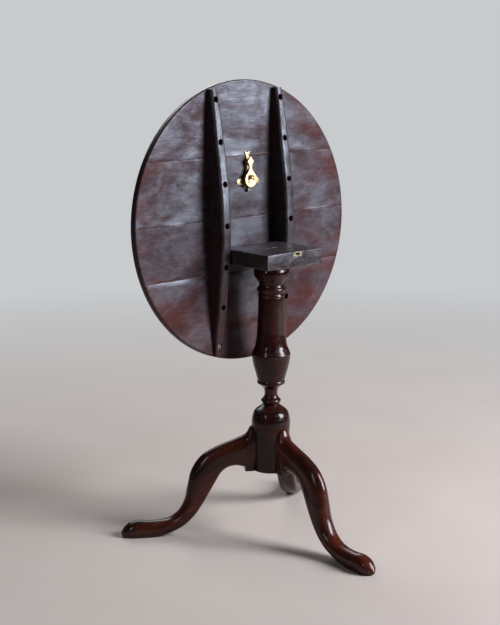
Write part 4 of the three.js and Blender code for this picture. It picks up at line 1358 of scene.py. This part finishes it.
def red_on_a_batten(spot):
    """The lower ends, where the top is lifted, are rubbed to red on their faces."""
    _, _, z = tipped.inverted() @ spot / mm
    return min(1, max(0.04, (60 - z) / 200)) * 0.75


def screw_bore(x, height):
    """A cutter for one deep bore: a flat floor above the boards and a worn mouth."""
    share = (height - top_centre) / batten_half_length
    mouth = batten_seat - np.interp(share, *depth_curve)
    steps = [
        (bore_radius, batten_seat - wood_under_head), (bore_radius, mouth + mouth_wear),
        (bore_radius + mouth_wear * 0.4, mouth + mouth_wear * 0.4), (bore_radius + mouth_wear, mouth - 1),
        (bore_radius + mouth_wear, -60),
    ]
    turns = [2 * math.pi * i / 40 for i in range(40)]
    rings = [
        [Vector((x + radius * math.cos(a), depth, height + radius * math.sin(a))) * mm for a in turns]
        for radius, depth in steps
    ]
    return lofted(rings, "bore")


for side, name in ((-1, "left"), (1, "right")):
    rings = [batten_ring(1 - 2 * i / batten_slices, side) for i in range(batten_slices + 1)]
    batten = lofted(rings, "batten")
    for height in screw_heights:
        batten = with_tool(batten, screw_bore(side * batten_middle, height))
    batten.transform(tipped)
    batten = with_tool(batten, pin_hole(name))
    lay_grain(batten, up_the_top, (0.5 + side, 0.3, 0.2 * side))
    mark_rubbed(batten, red_on_a_batten)
    only(batten, batten_wood)
    piece("bowed_batten_" + name, shaded(batten, 35), "top", "batten_wood", "batten_" + name)
    nodes = ["batten_screw_%s_%d" % (name, number) for number in range(1, 8)]
    screws = fixings_at(
        nodes, out_of_the_top, Head_Radius=5.4 * mm, Head_Height=3.2 * mm,
        Crown=0.25 * mm, Countersink=0.5, Slotted=True, Slot_Width=1.1 * mm, Slot_Depth=1.3 * mm,
        Shank_Radius=2.4 * mm, Length=19 * mm, Seed=20 + side, Metal=black_iron,
    )
    piece("batten_screws_" + name, screws, "top", "iron", *nodes)

# ------------------------------------------------------------------ brass catch
# A cast plate with two ears and a fishtail, screwed to the boards. A sleeve on it holds a
# sprung bolt, and a pear-shaped lever with a dished bowl and a ball stud draws the bolt.
catch_x = 7
plate_low, plate_high = 0.3, 1.9
ear_height = 163
ear_reach = 27.5
ear_radius = 7
stem_half = 10
plate_foot = 146.5
finial_top = 232
lever_bowl = (0, 167)
lever_bowl_radius = 18.5
lever_low, lever_high = 8.8, 13.3


def bend(start, pull, end, steps=10):
    """A curve from start to end, drawn towards pull; the start is left out."""
    start, pull, end = (np.array(point, float) for point in (start, pull, end))
    shares = [step / steps for step in range(1, steps + 1)]
    return [tuple((1 - t) ** 2 * start + 2 * t * (1 - t) * pull + t**2 * end) for t in shares]


def arc(centre, radius, start, end, steps=24):
    angles = [start + (end - start) * step / steps for step in range(steps + 1)]
    return [(centre[0] + radius * math.cos(a), centre[1] + radius * math.sin(a)) for a in angles]


def mirrored(half_line):
    """Adds the same line on the other side of the middle, to close an outline."""
    line = half_line + [(-x, z) for x, z in reversed(half_line)]
    return [point for i, point in enumerate(line) if math.dist(point, line[i - 1]) > 0.02]


def drawn_in(outline, amount):
    """The outline moved inwards along its own normals."""
    count = len(outline)
    found = []
    for i in range(count):
        before, here, after = (np.array(outline[j % count]) for j in (i - 1, i, i + 1))
        first, second = here - before, after - here
        first, second = first / np.linalg.norm(first), second / np.linalg.norm(second)
        normal = np.array((-(first + second)[1], (first + second)[0]))
        normal /= max(np.linalg.norm(normal), 1e-6)
        corner = max(0.55, float(normal @ np.array((-first[1], first[0]))))
        found.append(tuple(here + normal * amount / corner))
    return found


def cast_mesh(outline, low, high, soft, name, steps=5):
    """A cast plate standing off the underside from low to high, its face edge softened."""
    layers = [(low, 0.0), (high - soft, 0.0)]
    for step in range(1, steps + 1):
        angle = math.pi / 2 * step / steps
        layers.append((high - soft + soft * math.sin(angle), soft * (1 - math.cos(angle))))
    rings = [
        [Vector((catch_x + x, underside - lift, z)) * mm for x, z in drawn_in(outline, inset)]
        for lift, inset in layers
    ]
    mesh = lofted(rings, name)
    shape = bmesh.new()
    shape.from_mesh(mesh)
    bmesh.ops.triangulate(shape, faces=[face for face in shape.faces if len(face.verts) > 4])
    shape.to_mesh(mesh)
    shape.free()
    return mesh


half_plate = [(stem_half, plate_foot), (stem_half, ear_height - 9)]
half_plate += bend(
    half_plate[-1], (stem_half + 3, ear_height - ear_radius), (ear_reach, ear_height - ear_radius)
)
half_plate += arc((ear_reach, ear_height), ear_radius, -math.pi / 2, math.pi / 2)[1:]
half_plate += bend(half_plate[-1], (stem_half, ear_height + ear_radius), (stem_half - 2, ear_height + 22), 14)
half_plate += [(4.5, finial_top - 14)]
half_plate += bend(half_plate[-1], (5, finial_top - 7), (10, finial_top))
half_plate += bend((10, finial_top), (4, finial_top - 1.5), (0, finial_top - 3))
# Darker brass for the plate and the bolt sleeve: partly real tarnish, partly painted shade where they lie in
# the lever's shadow.
tarnished_shaded_brass = old_metal(
    "tarnished_shaded_brass", (0.40, 0.30, 0.165, 1), (0.19, 0.13, 0.06, 1), (0.025, 0.015, 0.009, 1),
    metallic=1.0, gloss=0.3, speckle=0.5, seed=2.6,
)
plate = cast_mesh(mirrored(half_plate), plate_low, plate_high, 0.5, "plate")
catch_screw_nodes = ["catch_screw_left", "catch_screw_right", "catch_screw_top"]
plate.transform(tipped)
for node in catch_screw_nodes:
    low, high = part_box(node)
    middle = (low + high) / 2
    plate = with_tool(
        plate, rod_mesh(2.85 * mm, middle - out_of_the_top * 12 * mm, middle + out_of_the_top * 12 * mm, 28)
    )
only(plate, tarnished_shaded_brass)
piece("plate_with_ears", shaded(plate, 30), "top", "brass", "catch_plate")
catch_screws = fixings_at(catch_screw_nodes, out_of_the_top, Seed=17, **small_screw)
piece("catch_screws", catch_screws, "top", "brass", *catch_screw_nodes)

# The sleeve's darker brass is partly painted shade.
sleeve = shaded(eased_mesh("catch_case", 0.25))
sleeve.materials.append(tarnished_shaded_brass)
piece("bolt_sleeve", sleeve, "top", "brass", "catch_case")
spring = shaded(eased_mesh("catch_spring", 0.08, 1))
spring.materials.append(black_iron)
folded_spring = piece("folded_spring", spring, "top", "iron", "catch_spring")
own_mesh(folded_spring)
bolt = shaded(eased_mesh("catch_bolt", 0.35))
bolt.materials.append(black_iron)
piece("sprung_bolt", bolt, "catch", "iron", "catch_bolt")

bowl_meet = math.pi / 5.2
half_lever = arc(lever_bowl, lever_bowl_radius, -math.pi / 2, bowl_meet, 40)
half_lever += bend(half_lever[-1], (5.7, 187), (4.2, 194), 12)
half_lever += bend((4.2, 194), (4.7, 202), (10.5, 208), 10)
half_lever += [(10.5, 208), (9.6, 209.4), (1.2, 219.4), (0, 220)]
lever = cast_mesh(mirrored(half_lever), lever_low, lever_high, 1.6, "lever", 6)
dish_radius, dish_depth = 11, 3
bowl_radius = (dish_radius**2 + dish_depth**2) / (2 * dish_depth)
bowl = bmesh.new()
bmesh.ops.create_icosphere(bowl, subdivisions=5, radius=bowl_radius * mm)
bowl_mesh = as_mesh(bowl, "bowl")
bowl_mesh.transform(
    Matrix.Translation(
        Vector((catch_x, underside - lever_high - bowl_radius + dish_depth, lever_bowl[1] + 0.5)) * mm
    )
)
lever = with_tool(lever, bowl_mesh)
lever.transform(tipped)
only(lever, yellow_brass)
piece("pear_lever", shaded(lever, 34), "catch", "brass", "catch_lever")

stud_height = 171
stud_radius = 2
ball_radius = 4.3
ball_middle = lever_high - dish_depth + 0.3 + ball_radius * 0.9
stud_profile = [(0, 3.8), (stud_radius, 3.8)]
stud_profile += straight((stud_radius, 3.8), (stud_radius, ball_middle - ball_radius * math.sin(1.1)), 4)
stud_profile += arc((0, ball_middle), ball_radius, -1.1, math.pi / 2, 16)
stud_mesh = outwards(
    made_by_nodes(profile_object("stud_profile", stud_profile), turning, Sides=40, Wood=yellow_brass)
)
stud_mesh.transform(
    tipped
    @ Matrix.Translation(Vector((catch_x, underside, stud_height)) * mm)
    @ Matrix.Rotation(math.pi / 2, 4, "X")
)
piece("ball_stud", shaded(stud_mesh, 30), "catch", "brass", "catch_stud")
